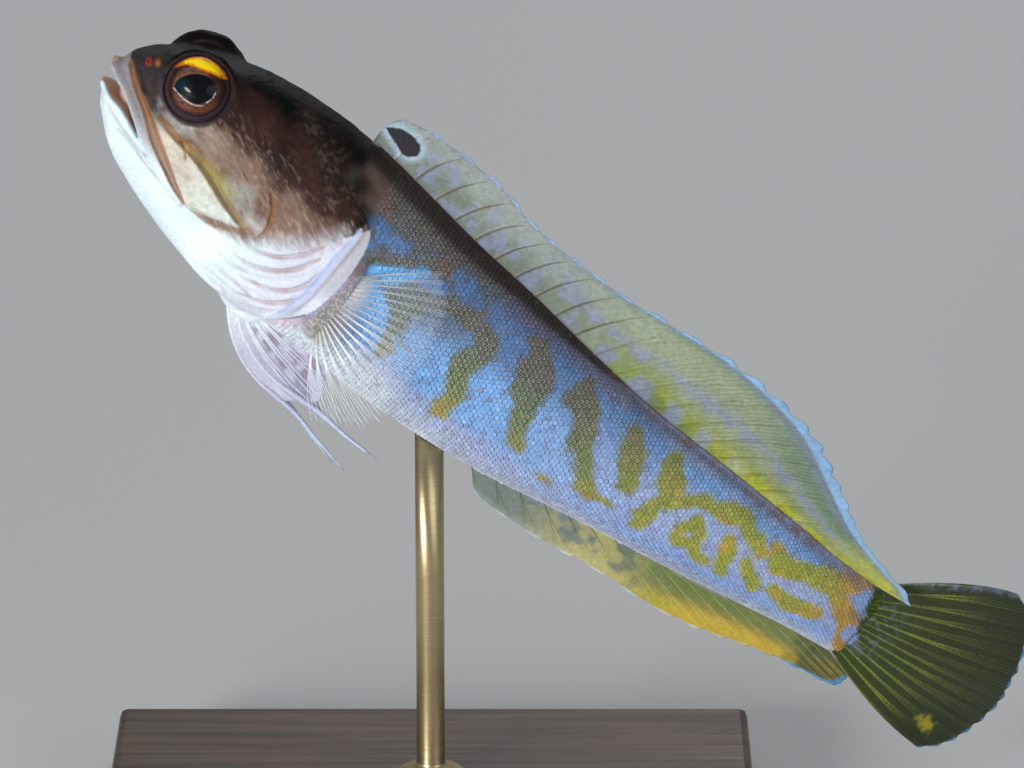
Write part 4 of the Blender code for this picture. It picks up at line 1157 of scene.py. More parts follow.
def fin_material(name, roughness):
    """A thin wet membrane, clear where its points say so."""
    return painted_material(
        name, 3200.0, (0.3, 0.7, 0.88, 1.12), {
            "Roughness": roughness, "Subsurface Weight": 0.15,
            "Subsurface Radius": (0.0006, 0.0006, 0.0005),
        }, bump=(0.2, 0.0001), clear=True,
    )


def eye_material():
    """Iris and pupil under a wet gloss."""
    return painted_material(
        "eye", 6000.0, (0.0, 1.0, 0.85, 1.15), {
            "Roughness": 0.3, "Specular IOR Level": 0.05, "Coat Weight": 0.2, "Coat Roughness": 0.04,
        },
    )


def grained_material(name, stretch, detail, shades, bump, values):
    """A material of the stand, with a grain between two shades, drawn out by stretch."""
    paint, nodes, links, shader = node_material(name)
    where = nodes.new("ShaderNodeTexCoord")
    drawn = nodes.new("ShaderNodeMapping")
    drawn.inputs["Scale"].default_value = stretch
    links.new(where.outputs["Object"], drawn.inputs["Vector"])
    grain = nodes.new("ShaderNodeTexNoise")
    grain.inputs["Scale"].default_value = 1.0
    grain.inputs["Detail"].default_value = detail
    links.new(drawn.outputs["Vector"], grain.inputs["Vector"])
    tint = nodes.new("ShaderNodeValToRGB")
    for stop, (place, shade) in zip(tint.color_ramp.elements, shades):
        stop.position = place
        stop.color = (*shade, 1)
    links.new(grain.outputs["Fac"], tint.inputs["Fac"])
    links.new(tint.outputs["Color"], shader.inputs["Base Color"])
    add_bump(nodes, links, grain.outputs["Fac"], shader, *bump)
    for socket, value in values.items():
        shader.inputs[socket].default_value = value
    return paint


# The two shades of the stand's wood and metal, and where each stands in the grain.
WOOD_SHADES = ((0.35, (0.028, 0.016, 0.010)), (0.68, (0.105, 0.060, 0.036)))
METAL_SHADES = ((0.0, (0.42, 0.32, 0.16)), (1.0, (0.66, 0.54, 0.32)))


# The fins

# The lengths tried for a ray until it meets its fin's edge, and how fine the fins' grids are.
RAY_STEP = 0.05
LONGEST_RAY = 24.0
REACHES = np.arange(RAY_STEP, LONGEST_RAY, RAY_STEP)
FIN_FINE = 1.0

# Where each fin stands on the body, its outline, and how its rays lean, spread and bow.
DORSAL_BASE = (22.6, 89.2)
DORSAL_RAYS = 26
ANAL_BASE = (49.8, 90.4)
ANAL_RAYS = 17
CAUDAL_RAYS = 14
CAUDAL_ROOT = BODY_LENGTH - 3.0
CAUDAL_SPAN = (2.5, -2.9)
CAUDAL_FAN_ROOT = BODY_LENGTH + 0.4
CAUDAL_FAN_SPAN = (3.9, -3.8)
PECTORAL_RAYS = 19
DORSAL_EDGE = smooth((
    (22.6, 12.2), (23.4, 13.7), (24.6, 14.2), (29, 14.7), (34, 14.8), (40, 13.8), (50, 13.5),
    (56, 14.2), (64, 14.9), (70, 14.4), (76, 12.9), (81, 10.2), (86, 7.4), (91, 5.9),
    (93.3, 5.3), (94.3, 4.0),
))
DORSAL_SLANT = smooth((
    (22.6, 76), (27, 64), (32, 56), (46, 54), (54, 46), (60, 39), (68, 31), (76, 24), (84, 16),
    (89.2, 9),
))
DORSAL_LEAN = smooth(((22.6, 0), (79, 0), (84, -0.7), (87, -1.6), (89.2, -2.0)))
ANAL_EDGE = smooth((
    (49.8, -9.15), (50.6, -10.3), (52, -11.1), (54, -11.4), (60, -11.2), (66, -10.4), (74, -10.1),
    (80, -9.4), (86, -8.0), (91, -7.3), (94.6, -6.9), (95.5, -5.6), (96.2, -3.0),
))
ANAL_SLANT = smooth(((49.8, 48), (53, 40), (57, 31), (62, 23), (70, 16), (80, 12), (90.4, 16)))
CAUDAL_LENGTH = smooth((
    (0, 14.4), (0.12, 17.6), (0.3, 19.4), (0.45, 20.5), (0.62, 21.8), (0.75, 21.2), (0.9, 19.2),
    (1, 17.0),
))
CAUDAL_ANGLE = smooth((
    (0, 28), (0.12, 20), (0.3, 11), (0.45, 4), (0.62, -2), (0.75, -7.5), (0.9, -13), (1, -17),
))
CAUDAL_BOW = smooth(((0, 1.6), (0.15, 0.7), (0.5, 0), (0.85, -0.3), (1, -0.8)))
PECTORAL_TOP = (29.3, 1.2)
PECTORAL_FOOT = (29.6, -6.6)
PECTORAL_OUT = 0.55
PECTORAL_WEB = 0.025
PECTORAL_HAIR = (0.034, 0.014)
PECTORAL_LENGTH = smooth(((0, 8.2), (0.2, 9.6), (0.4, 9.9), (0.6, 9.9), (0.8, 10.2), (1, 7.8)))
PECTORAL_FAN = smooth(((0, 46), (0.2, 32), (0.4, 16), (0.6, 0), (0.8, -18), (1, -44)))
PECTORAL_FLARE = smooth(((0, 12), (0.5, 17), (1, 24)))
PECTORAL_SPREAD = smooth(((0, 0.3), (0.5, 0.7), (1, 1.0)))
PECTORAL_SAG = smooth(((0, 0.1), (0.5, 0.0), (1, -0.7)))

# The hairs of a pectoral ray: the steps of each, how many a ray has in the fin's upper and lower
# part, and where the lower part starts.
HAIR_SEED = 5
HAIR_STEPS = 24
UPPER_HAIRS = 3
LOWER_HAIRS = 5
LOWER_FROM = 0.4

# The pelvic fins: how far apart their roots are, how they splay and hang, and their webs and rays.
PELVIC_APART = 1.35
PELVIC_STEP_OUT = 0.05
PELVIC_CLOSE = 0.35
PELVIC_STEPS = 44
PELVIC_SPLAY = {-1: math.radians(7.0), 1: math.radians(2.0)}
PELVIC_DROP = {-1: 0.0, 1: math.radians(6.0)}
PELVIC_WEB = (0.6, 0.62, 0.96, 0.97, 0.98, 0.98)
PELVIC_THICK = (0.36, 0.42, 0.16, 0.12, 0.1, 0.09)

# The rays of the left pelvic fin, as pixels of the image from root to tip.
PELVIC_PATHS = (
    ((228, 304), (231, 330), (241, 357), (257, 379), (277, 397), (296, 414), (318, 441), (344, 471)),
    ((236, 308), (243, 335), (256, 359), (274, 379), (296, 396), (320, 413), (348, 438), (378, 460)),
    ((243, 312), (253, 335), (265, 355), (279, 372), (291, 386), (301, 396), (309, 405), (315, 412)),
    ((250, 314), (263, 333), (276, 350), (289, 365), (300, 378), (309, 388), (316, 395), (321, 401)),
    ((257, 316), (271, 330), (285, 345), (297, 357), (307, 366), (314, 374), (320, 381), (324, 386)),
    ((262, 317), (277, 327), (291, 337), (303, 346), (312, 353), (319, 359), (324, 364), (328, 369)),
)


def meet(start, slant, edge, way):
    """Where a ray meets its fin's free edge, above the body for way 1 or below it for -1."""
    s, w, h = start
    angle = math.radians(slant)
    short = way * edge(s + REACHES * math.cos(angle)) > way * h + REACHES * math.sin(angle)
    length = REACHES[np.argmin(short)]
    return (s + length * math.cos(angle), w, h + way * length * math.sin(angle))


def sideways(place):
    """The way across the sheet of a fin that stands on the fish's middle."""
    return (0, 1, 0)


def fin_grid(rays, root, tip, across, columns, rows, notch, bow=None, free=0.5, wave=0.0, crowd=1.4):
    """The middle of a fin's sheet as a grid of points [column][row], and what goes with it.

    root, tip, across and bow say where the ray at a place starts and ends, which way is square to
    the sheet there and how far the ray leaves its straight line. columns are counted from ray to
    ray. notch is the share of a ray that the web between two rays reaches, free is how far beside
    a ray the web falls to that, wave ripples the tips and crowd draws the columns to the rays."""
    columns = max(4, int(columns * FIN_FINE))
    rows = max(10, int(rows * FIN_FINE))
    places = np.linspace(0, rays - 1, (rays - 1) * columns + 1)
    beside = places - np.round(places)
    places = np.round(places) + np.sign(beside) * np.abs(2 * beside) ** crowd / 2
    shares = np.linspace(0, 1, rows)
    starts = np.array([root(place) for place in places])
    ends = np.array([tip(place) for place in places])
    sides = np.array([across(place) for place in places])
    off = places - np.round(places)
    cut = np.array([notch(place) if callable(notch) else notch for place in places])
    reach = 1 - (1 - cut) * ramp(0.04, free, np.abs(off))
    way = shares[None, :] * reach[:, None]
    middle = starts[:, None] + (ends - starts)[:, None] * way[..., None]
    if bow is not None:
        middle += np.array([[bow(place, share) for share in row] for place, row in zip(places, way)])
    ripple = wave * way**1.5 * np.sin(places * 0.9)[:, None]
    middle += sides[:, None] * ripple[..., None]
    along = np.gradient(middle, places, axis=0)
    pitch = np.linalg.norm(along, axis=2)
    return {
        "middle": middle, "across": np.repeat(sides[:, None], rows, axis=1), "way": way,
        "off": np.repeat(off[:, None], rows, axis=1), "pitch": pitch,
        "place": np.repeat(places[:, None], rows, axis=1),
        "length": np.repeat(np.linalg.norm(ends - starts, axis=1)[:, None], rows, axis=1),
    }


# How far a ray's forks and their twigs part at its tip, in shares of the way to the next ray, where
# they would be that far apart, and how wide a ray's foot on the web is against its girth.
FORK_APART = 0.21
TWIG_APART = 0.11
FORKED_AT = 1.05
RAY_FOOT = 1.25


def rays_of(grid, thick, thin, branch, again, web, spines=0.0):
    """Half the sheet's thickness, and how strongly a ray shows, at every point of a fin.

    thick and thin are half a ray's girth at its root and tip, and web is half the web's thickness.
    Rays fork at branch and at again, as shares of their length. The first ones, up to spines,
    are plain spines."""
    soft = ramp(spines - 0.5, spines + 0.5, grid["place"]) if spines else 1.0
    way = grid["way"]
    fork = FORK_APART * ramp(branch, FORKED_AT, way) * soft
    twig = TWIG_APART * ramp(again, FORKED_AT, way) * soft
    gap = np.abs(np.abs(np.abs(grid["off"]) - fork) - twig) * grid["pitch"]
    girth = lerp(thick, thin, way**0.7) * lerp(1.0, 0.72, ramp(branch, branch + 0.2, way) * soft)
    arch = np.sqrt(np.maximum(0, 1 - (gap / (RAY_FOOT * girth)) ** 2))
    half = web * lerp(1.0, 0.7, way) + girth * arch
    return half, ramp(0.0, 0.75, arch)


def sheet_parts(grid, half, tints):
    """The points, faces and tints of a closed thin sheet about a fin's grid."""
    columns, rows = half.shape
    count = columns * rows
    offset = grid["across"] * half[..., None]
    front = (grid["middle"] + offset).reshape(-1, 3)
    back = (grid["middle"] - offset).reshape(-1, 3)
    points = np.vstack((front, back))
    index = np.arange(count).reshape(columns, rows)
    quads = np.stack((index[:-1, :-1], index[1:, :-1], index[1:, 1:], index[:-1, 1:]), -1).reshape(-1, 4)
    rim = np.concatenate((index[:, 0], index[-1, 1:], index[-2::-1, -1], index[0, -2:0:-1]))
    ahead = np.roll(rim, -1)
    edge = np.column_stack((ahead, rim, rim + count, ahead + count))
    faces = np.vstack((quads, quads[:, ::-1] + count, edge))
    a, b, c, d = (points[faces[:, k]] for k in range(4))
    volume = np.sum(np.cross(c - a, d - b) * (a + b + c + d))
    if volume < 0:
        faces = faces[:, ::-1]
    tints = tints.reshape(count, -1)
    return points, faces, np.vstack((tints, tints))


# The sides of a round ray. Its ends are closed by two faces each, which suits six sides only.
STRAND_SIDES = 6


def strand(path, sizes, core, rim, aside):
    """The points, faces and tints of a round ray along a path, paler on its sides."""
    turns = np.arange(STRAND_SIDES) * 2 * math.pi / STRAND_SIDES
    ahead = np.gradient(path, axis=0)
    ahead /= np.linalg.norm(ahead, axis=1)[:, None]
    second = np.cross(ahead, aside)
    second /= np.linalg.norm(second, axis=1)[:, None]
    first = np.cross(second, ahead)
    ring = np.cos(turns)[:, None] * first[:, None] + np.sin(turns)[:, None] * second[:, None]
    points = (path[:, None] + sizes[:, None, None] * ring).reshape(-1, 3)
    index, wall = tube_faces(len(path), STRAND_SIDES)
    start, end = index[0], index[-1]
    ends = [start[[3, 2, 1, 0]], start[[0, 5, 4, 3]], end[[0, 1, 2, 3]], end[[0, 3, 4, 5]]]
    share = np.tile(np.abs(np.cos(turns)), len(path))
    tints = core + (rim - core) * share[:, None]
    return points, np.vstack((wall, ends)), tints


def joined(name, *parts):
    """Several sets of points, faces and tints as one object."""
    points, faces, tints = zip(*parts)
    starts = np.cumsum([0] + [len(some) for some in points])
    numbered = np.vstack([some + start for some, start in zip(faces, starts)])
    return new_mesh(name, np.vstack(points), [numbered], np.vstack(tints))



# The length of one joint of a soft ray.
RAY_JOINT = 0.6


def segments(grid, strong=0.1):
    """The fine joints across soft rays, as a brightness."""
    return 1 + strong * np.sin(grid["way"] * grid["length"] * 2 * math.pi / RAY_JOINT)


# The sizes of the noises that break up the paint of the dorsal and anal fins.
FIN_NOISE = (2.2, 1.0, 0.35)

# The noise drawn out along rays: its stretch across and along them, and its size.
DRAWN_ACROSS = 1.4
DRAWN_ALONG = 3
DRAWN_SIZE = 0.8

# The fine lines of paint from one ray to the next.
LINES_A_RAY = 5


def mottle(grid, size):
    """Noise over a fin, whose lumps are about size across."""
    spots = grid["middle"].reshape(-1, 3)
    return noise(spots, size).reshape(grid["way"].shape)


def noise_along(grid):
    """Noise drawn out along the rays."""
    way = grid["way"]
    spots = np.stack((grid["place"] * DRAWN_ACROSS, way * DRAWN_ALONG, 0 * way), -1).reshape(-1, 3)
    return noise(spots, DRAWN_SIZE).reshape(way.shape)


EDGE_BLUE = colour(84, 160, 214)
EDGE_PALE = colour(190, 204, 226)
FIN_GREY_OLIVE = colour(116, 128, 122)
FIN_GREY_GREEN = colour(156, 166, 136)
FIN_LILAC = colour(138, 148, 190)
FIN_PALE = colour(146, 156, 152)
FIN_LEAF = colour(108, 122, 84)
FIN_STRAW = colour(196, 188, 116)
FIN_RAY_DARK = colour(74, 78, 40)
FIN_GREEN = colour(140, 154, 58)
FIN_TEAL = colour(104, 136, 112)
FIN_YELLOW = colour(190, 192, 36)
FIN_BROWN = colour(84, 66, 46)
FIN_ORANGE = colour(204, 176, 58)
FIN_DEEP = colour(50, 60, 22)
FIN_RAY_GREEN = colour(134, 148, 58)
OCELLUS = colour(24, 20, 28)
OCELLUS_RING = colour(170, 196, 214)
RAY_WHITE = colour(220, 228, 234)
PELVIC_LILAC = colour(184, 184, 206)
PELVIC_PURPLE = colour(116, 98, 124)
PELVIC_CORE = colour(140, 144, 184)
FILAMENT = colour(190, 214, 236)


# The distance between the lilac blotches along the dorsal fin's foot.
BLOTCH_STEP = 4.4

# The black spot, as pixels of the image.
OCELLUS_OUTLINE = rounded((
    (386, 127), (395, 127.5), (404, 130), (413, 136), (420, 145), (420, 153), (413, 157), (405, 155.5),
    (399, 149), (394, 141), (389, 134), (386, 127),
), 3)


def dorsal_fin():
    """The dorsal fin, with spines in front and the black spot that its first ones carry."""
    def root(place):
        s = lerp(DORSAL_BASE[0], DORSAL_BASE[1], place / (DORSAL_RAYS - 1))
        return (s, 0.0, float(BACK(s)) + 0.1)

    def tip(place):
        start = root(place)
        s, w, h = meet(start, float(DORSAL_SLANT(start[0])), DORSAL_EDGE, 1)
        return (s, w + float(DORSAL_LEAN(start[0])), h)

    def bow(place, way):
        curve = 4 * way * (1 - way) * (1 - float(ramp(20, 25, place)))
        return (-0.4 * curve, 0.0, 0.3 * curve)

    def web(place):
        return lerp(0.945, 0.97, float(ramp(12, 20, place)))

    grid = fin_grid(
        DORSAL_RAYS, root, tip, sideways, columns=26, rows=60, notch=web, bow=bow, wave=0.35, crowd=1.15,
    )
    half, ray = rays_of(grid, thick=0.12, thin=0.045, branch=0.15, again=0.5, web=0.09, spines=10.5)
    way, place, s = grid["way"], grid["place"], grid["middle"][..., 0]
    broad, mid, fine = (mottle(grid, size) for size in FIN_NOISE)
    front = stops(
        way + 0.08 * broad, (0.0, FIN_GREY_OLIVE), (0.3, FIN_GREY_OLIVE), (0.6, FIN_PALE),
        (1.0, FIN_PALE),
    )
    lilac = ramp(0.0, 0.5, mid + 0.3 * fine) * (1 - ramp(0.55, 0.8, way))
    front = over(front, FIN_LILAC, lilac * 0.45)
    front = over(front, FIN_LEAF, ramp(0.1, 0.7, -mid + 0.3 * fine) * (1 - ramp(0.4, 0.8, way)) * 0.35)
    rear = stops(
        way + 0.06 * broad, (0.0, FIN_LEAF), (0.15, FIN_GREEN), (0.45, FIN_GREY_GREEN),
        (0.8, FIN_GREY_GREEN), (1.0, FIN_TEAL),
    )
    rear = over(rear, FIN_TEAL, ramp(66, 78, s) * ramp(0.4, 0.7, way) * 0.8)
    blotch = 0.5 + 0.5 * np.sin(s * 2 * math.pi / BLOTCH_STEP + 1.0 + broad)
    rear = over(rear, FIN_LILAC, band(way, 0.1, 0.06, 0.1) * ramp(0.4, 0.8, blotch) * 0.7)
    stripe = band(way + 0.04 * mid, lerp(0.38, 0.5, ramp(50, 75, s)), 0.02, 0.1)
    rear = over(rear, FIN_LILAC, stripe * (0.45 + 0.3 * mid))
    lines = np.sin(place * 2 * math.pi * LINES_A_RAY + 2.0 * mid)
    soft = ramp(50, 64, s) * (0.6 + 0.4 * fine)
    rear = over(rear, FIN_PALE, ramp(0.2, 0.9, lines) * soft * 0.3)
    rear = over(rear, FIN_DEEP, ramp(0.2, 0.9, -lines) * soft * 0.4)
    tint = over(front, rear, ramp(42, 60, s))
    yellow = np.maximum(ramp(80, 87, s - 4 * way), ramp(62, 76, s) * (1 - ramp(0.15, 0.32, way)))
    tint = over(tint, FIN_YELLOW, yellow * (0.66 + 0.2 * fine + 0.16 * lines))
    spine = ray * (1 - ramp(10, 12, place)) * (1 - ramp(0.78, 0.92, way))
    tint = over(tint, FIN_BROWN, spine * 0.8)
    tint = over(tint, FIN_RAY_DARK, ray * ramp(11, 14, place) * (1 - ramp(20, 23, place)) * 0.45)
    tint = over(tint, FIN_YELLOW, ray * ramp(20, 23, place) * 0.4)
    wide = np.interp(s, (24, 45, 60, 72, 84, 95), (0.02, 0.03, 0.04, 0.08, 0.13, 0.12))
    margin = ramp(1 - wide - 0.03, 1 - wide, way)
    tint = over(tint, FIN_LILAC * 0.8, ramp(1 - 2.6 * wide - 0.04, 1 - wide - 0.02, way) * 0.5)
    tint = over(tint, lerp(EDGE_PALE, EDGE_BLUE, 0.6), margin * 0.9)
    x, y = in_image(grid["middle"].reshape(-1, 3)).T
    spot = inside_of(x, y, OCELLUS_OUTLINE).reshape(way.shape) + 0.6 * fine
    near = s < 30
    tint = over(tint, OCELLUS_RING, (1 - ramp(1.0, 10.0, spot)) * 0.65 * near)
    tint = over(tint, OCELLUS, (1 - ramp(-1.0, 0.8, spot)) * near)
    half = lerp(half, 0.12, (1 - ramp(-1.0, 1.0, spot)) * near)
    tint *= (1 + 0.14 * fine + 0.06 * broad)[..., None] * lerp(1.0, segments(grid), ray)[..., None]
    clear = 0.84 + 0.16 * np.maximum(np.maximum(ray, margin), (1 - ramp(0.0, 6.0, spot)) * near)
    return joined("dorsal_rays", sheet_parts(grid, half, np.dstack((tint, clear))))


def anal_fin():
    """The anal fin, olive in front and orange behind."""
    def root(place):
        s = lerp(ANAL_BASE[0], ANAL_BASE[1], place / (ANAL_RAYS - 1))
        return (s, 0.0, float(BELLY(s)) - 0.1)

    def tip(place):
        start = root(place)
        return meet(start, float(ANAL_SLANT(start[0])), ANAL_EDGE, -1)

    def web(place):
        return lerp(0.94, 0.985, float(ramp(10, 14, place)))

    grid = fin_grid(ANAL_RAYS, root, tip, sideways, columns=28, rows=44, notch=web, wave=0.3)
    half, ray = rays_of(grid, thick=0.1, thin=0.04, branch=0.1, again=0.4, web=0.09)
    way, s = grid["way"], grid["middle"][..., 0]
    broad, mid, fine = (mottle(grid, size) for size in FIN_NOISE)
    front = stops(
        way + 0.06 * broad, (0.0, FIN_LILAC), (0.12, FIN_GREY_OLIVE), (0.7, FIN_GREY_OLIVE),
        (1.0, FIN_PALE),
    )
    front = over(front, FIN_STRAW, ramp(54, 66, s) * ramp(-0.2, 0.5, mid + way) * 0.8)
    rear = stops(
        way + 0.06 * broad, (0.0, FIN_GREEN), (0.4, FIN_GREEN), (0.6, FIN_ORANGE), (1.0, FIN_ORANGE),
    )
    rear = over(rear, FIN_GREEN, (1 - ramp(72, 77, s)) * 0.5)
    tint = over(front, rear, ramp(66, 74, s))
    lines = np.sin(grid["place"] * 2 * math.pi * LINES_A_RAY + 2.0 * mid)
    soft = ramp(62, 74, s) * (1 - ramp(0.55, 0.8, way)) * (0.6 + 0.4 * fine)
    tint = over(tint, FIN_PALE, ramp(0.2, 0.9, lines) * soft * 0.35)
    tint = over(tint, FIN_DEEP, ramp(0.1, 0.9, -lines) * soft * 0.55)
    tint = over(tint, FIN_DEEP, ramp(86, 90, s + 1.5 * mid) * 0.85)
    tint = over(tint, FIN_RAY_DARK, ray * (1 - ramp(66, 74, s)) * 0.55)
    tint = over(tint, FIN_LEAF * 0.8, (1 - ray) * ramp(62, 74, s) * (1 - ramp(0.5, 0.75, way)) * 0.5)
    tint = over(tint, FIN_STRAW, ray * ramp(62, 74, s) * 0.5)
    pale = band(way, 0.08, 0.03, 0.06) * ramp(0.0, 0.5, noise_along(grid)) * ramp(64, 74, s)
    tint = over(tint, FIN_PALE, pale * 0.7)
    tint = over(tint, EDGE_PALE, ramp(0.94, 0.975, way) * (1 - ramp(80, 86, s)) * 0.75)
    tint = over(tint, EDGE_BLUE, ramp(0.9, 0.95, way) * ramp(85, 90, s) * 0.9)
    tint *= (1 + 0.12 * fine)[..., None] * lerp(1.0, segments(grid), ray)[..., None]
    clear = 0.84 + 0.16 * np.maximum(ray, ramp(0.93, 0.96, way))
    return joined("anal_rays", sheet_parts(grid, half, np.dstack((tint, clear))))


# The tail fin's pale spots, as pixels of the image, and the place, lean and size of its yellow one.
CAUDAL_SPOTS = ((849, 637), (862, 603))
SPOT_ORANGE = colour(206, 120, 24)
YELLOW_SPOT = seen_at([(924, 722)], width=0.0)[0]
YELLOW_LEAN = math.radians(-16)
YELLOW_SIZE = (1.7, 0.75)


def caudal_fin():
    """The tail fin, whose rays fan out from inside the body's end."""
    def root(place):
        return (CAUDAL_ROOT, 0.0, lerp(*CAUDAL_SPAN, place / (CAUDAL_RAYS - 1)))

    def tip(place):
        share = place / (CAUDAL_RAYS - 1)
        s, h = CAUDAL_FAN_ROOT, lerp(*CAUDAL_FAN_SPAN, share)
        angle = math.radians(float(CAUDAL_ANGLE(share)))
        length = float(CAUDAL_LENGTH(share))
        return (s + length * math.cos(angle), 0.0, h + length * math.sin(angle))

    def bow(place, way):
        return (0.0, 0.0, 4 * float(CAUDAL_BOW(place / (CAUDAL_RAYS - 1))) * way * (1 - way))

    grid = fin_grid(
        CAUDAL_RAYS, root, tip, sideways, columns=34, rows=110, notch=0.985, bow=bow, wave=0.3, crowd=1.0,
    )
    half, ray = rays_of(grid, thick=0.11, thin=0.04, branch=0.02, again=0.2, web=0.1)
    way, place = grid["way"], grid["place"]
    s, _, h = np.moveaxis(grid["middle"], 2, 0)
    broad, fine = mottle(grid, 2.4), mottle(grid, 0.4)
    low = ramp(5, 9, place)
    base = stops(
        way + 0.1 * broad, (0.0, TAIL_GREEN), (0.25, FIN_DEEP * 1.15), (0.6, FIN_DEEP * 0.8),
        (1.0, FIN_DEEP * 0.5),
    )
    base = over(base, TAIL_GREEN, low * (1 - ramp(0.4, 0.8, way)) * 0.5)
    drawn = noise_along(grid)
    bright = ray * lerp(0.8, 0.25, ramp(0.3, 1.0, way)) * (0.65 + 0.5 * drawn) * ramp(0.0, 0.2, way)
    tint = over(base, FIN_RAY_GREEN, bright)
    streak = ramp(-0.1, 0.5, fine + 0.7 * drawn) * (1 - ramp(0.12, 0.38, way))
    streak *= (1 - 0.6 * ray) * ramp(1.5, 3.5, place)
    streak *= 1 - ramp(CAUDAL_RAYS - 4.5, CAUDAL_RAYS - 2.5, place)
    tint = over(tint, LILAC * 0.8, streak * 0.36)
    ds, dh = s - YELLOW_SPOT[0], h - YELLOW_SPOT[1]
    along = ds * math.cos(YELLOW_LEAN) + dh * math.sin(YELLOW_LEAN)
    off = dh * math.cos(YELLOW_LEAN) - ds * math.sin(YELLOW_LEAN)
    gold = spot_reach(along, off, (0, 0), YELLOW_SIZE) + 0.5 * mottle(grid, 0.5)
    tint = over(tint, FIN_YELLOW, (1 - ramp(0.3, 1.3, gold)) * (0.55 + 0.45 * ray))
    tint = over(tint, SPOT_ORANGE, (1 - ramp(0.1, 0.7, gold)) * (0.3 + 0.5 * ray))
    top = (1 - ramp(0.1, 0.7, place)) * ramp(0.25, 0.45, way)
    tint = over(tint, FIN_LILAC, top * (0.25 + 0.3 * fine))
    dotted = ramp(-0.25, 0.2, fine + 0.4 * np.cos(grid["off"] * 2 * math.pi))
    rim = ramp(0.98, 0.99, way) * ramp(1.5, 4.0, place) * dotted
    tint = over(tint, EDGE_BLUE, rim * 0.9)
    tint = over(tint, EDGE_PALE, ramp(0.975, 0.99, way) * (1 - ramp(1.5, 4.0, place)) * 0.5)
    for spot in CAUDAL_SPOTS:
        centre = seen_at([spot], width=0.0)[0]
        reach = np.hypot(s - centre[0], h - centre[1])
        tint = over(tint, SKY_PALE, (1 - ramp(0.5, 1.0, reach)) * 0.85)
    tint *= (1 + 0.12 * fine)[..., None] * lerp(1.0, segments(grid, 0.3), ray)[..., None]
    clear = 0.94 + 0.06 * ray
    half = half + 0.12 * (1 - ramp(0.1, 0.3, way))
    return joined("caudal_rays", sheet_parts(grid, half, np.dstack((tint, clear))))


def pectoral_fin(side, word):
    """One pectoral fin: a clear web with bundles of fine hairs along its rays."""
    def share_of(place):
        return place / (PECTORAL_RAYS - 1)

    def root(place):
        s = lerp(PECTORAL_TOP[0], PECTORAL_FOOT[0], share_of(place))
        h = lerp(PECTORAL_TOP[1], PECTORAL_FOOT[1], share_of(place))
        return (s, side * (float(flank(s, h)) + PECTORAL_OUT), h)

    def tip(place):
        s, w, h = root(place)
        fan = math.radians(float(PECTORAL_FAN(share_of(place))))
        flare = math.radians(float(PECTORAL_FLARE(share_of(place))))
        length = float(PECTORAL_LENGTH(share_of(place)))
        return (
            s + length * math.cos(flare) * math.cos(fan),
            w + side * length * math.sin(flare),
            h + length * math.cos(flare) * math.sin(fan),
        )

    def across(place):
        flare = math.radians(float(PECTORAL_FLARE(share_of(place))))
        fan = math.radians(float(PECTORAL_FAN(share_of(place))))
        return (-math.sin(flare) * math.cos(fan), side * math.cos(flare), -math.sin(flare) * math.sin(fan))

    def web(place):
        return lerp(0.94, 0.6, float(ramp(0.35, 0.8, share_of(place))))

    grid = fin_grid(PECTORAL_RAYS, root, tip, across, columns=6, rows=30, notch=web, crowd=1.0)
    way = grid["way"]
    share = share_of(grid["place"])
    broad = mottle(grid, 1.5)
    tint = stops(
        share + 0.05 * broad, (0.0, SKY_PALE), (0.4, SKY_PALE), (0.6, FIN_LILAC), (1.0, RAY_WHITE),
    )
    tint = over(tint, LOBE_GOLD, (1 - ramp(0.05, 0.3, way + 0.08 * broad)) * 0.7)
    clear = 0.045 + 0.42 * (1 - ramp(0.03, 0.25, way))
    parts = [sheet_parts(grid, np.full(way.shape, PECTORAL_WEB), np.dstack((tint, clear)))]
    random = np.random.default_rng(HAIR_SEED)
    for place in range(PECTORAL_RAYS):
        share = share_of(place)
        start, end = np.array(root(place)), np.array(tip(place))
        facing = np.array(across(place))
        upward = np.cross(end - start, facing) * side
        upward /= np.linalg.norm(upward)
        hairs = LOWER_HAIRS if share > LOWER_FROM else UPPER_HAIRS
        for hair in range(hairs):
            lean = hair - (hairs - 1) / 2
            reach = 1 + random.uniform(-0.06, 0.05)
            along = np.linspace(0, reach, HAIR_STEPS)
            spread = 0.75 * float(PECTORAL_SPREAD(share)) * np.maximum(0, along - 0.3) ** 1.3
            spread = lean * (0.04 + spread)
            sag = float(PECTORAL_SAG(share)) * 4 * along * (1 - along)
            path = start + (end - start) * along[:, None] + upward * (spread + sag)[:, None]
            path = path + facing * 0.02 * lean
            sizes = lerp(*PECTORAL_HAIR, along / reach) * lerp(1.0, 1.3, float(ramp(0.6, 0.8, share)))
            bright = lerp(0.7, 1.12, float(ramp(0.3, 0.6, share)))
            clearest = lerp(0.65, 0.95, float(ramp(0.3, 0.6, share)))
            shown = np.repeat(clearest * (1 - 0.25 * along / reach), STRAND_SIDES)
            colours = stops(np.repeat(along, STRAND_SIDES), (0.0, LOBE_PALE), (0.3, RAY_WHITE))
            tints = np.column_stack((colours * bright, shown))
            parts.append(strand(path, sizes, tints, tints, facing))
    return joined(f"pectoral_rays_{word}", *parts)


def pelvic_paths():
    """The left pelvic fin's rays on the straight fish, as (s, distance out, h) along each ray."""
    paths = []
    for number, line in enumerate(PELVIC_PATHS):
        apart = PELVIC_APART + PELVIC_STEP_OUT * number
        spots = seen_at(line, width=-apart)
        far = np.hypot(*(spots - spots[0]).T)
        out = apart + far * math.sin(PELVIC_SPLAY[-1])
        spots = np.vstack([seen_at([pixel], width=-away) for pixel, away in zip(line, out)])
        paths.append(rounded(np.column_stack((spots[:, 0], out, spots[:, 1])), 4))
    return np.array(paths)


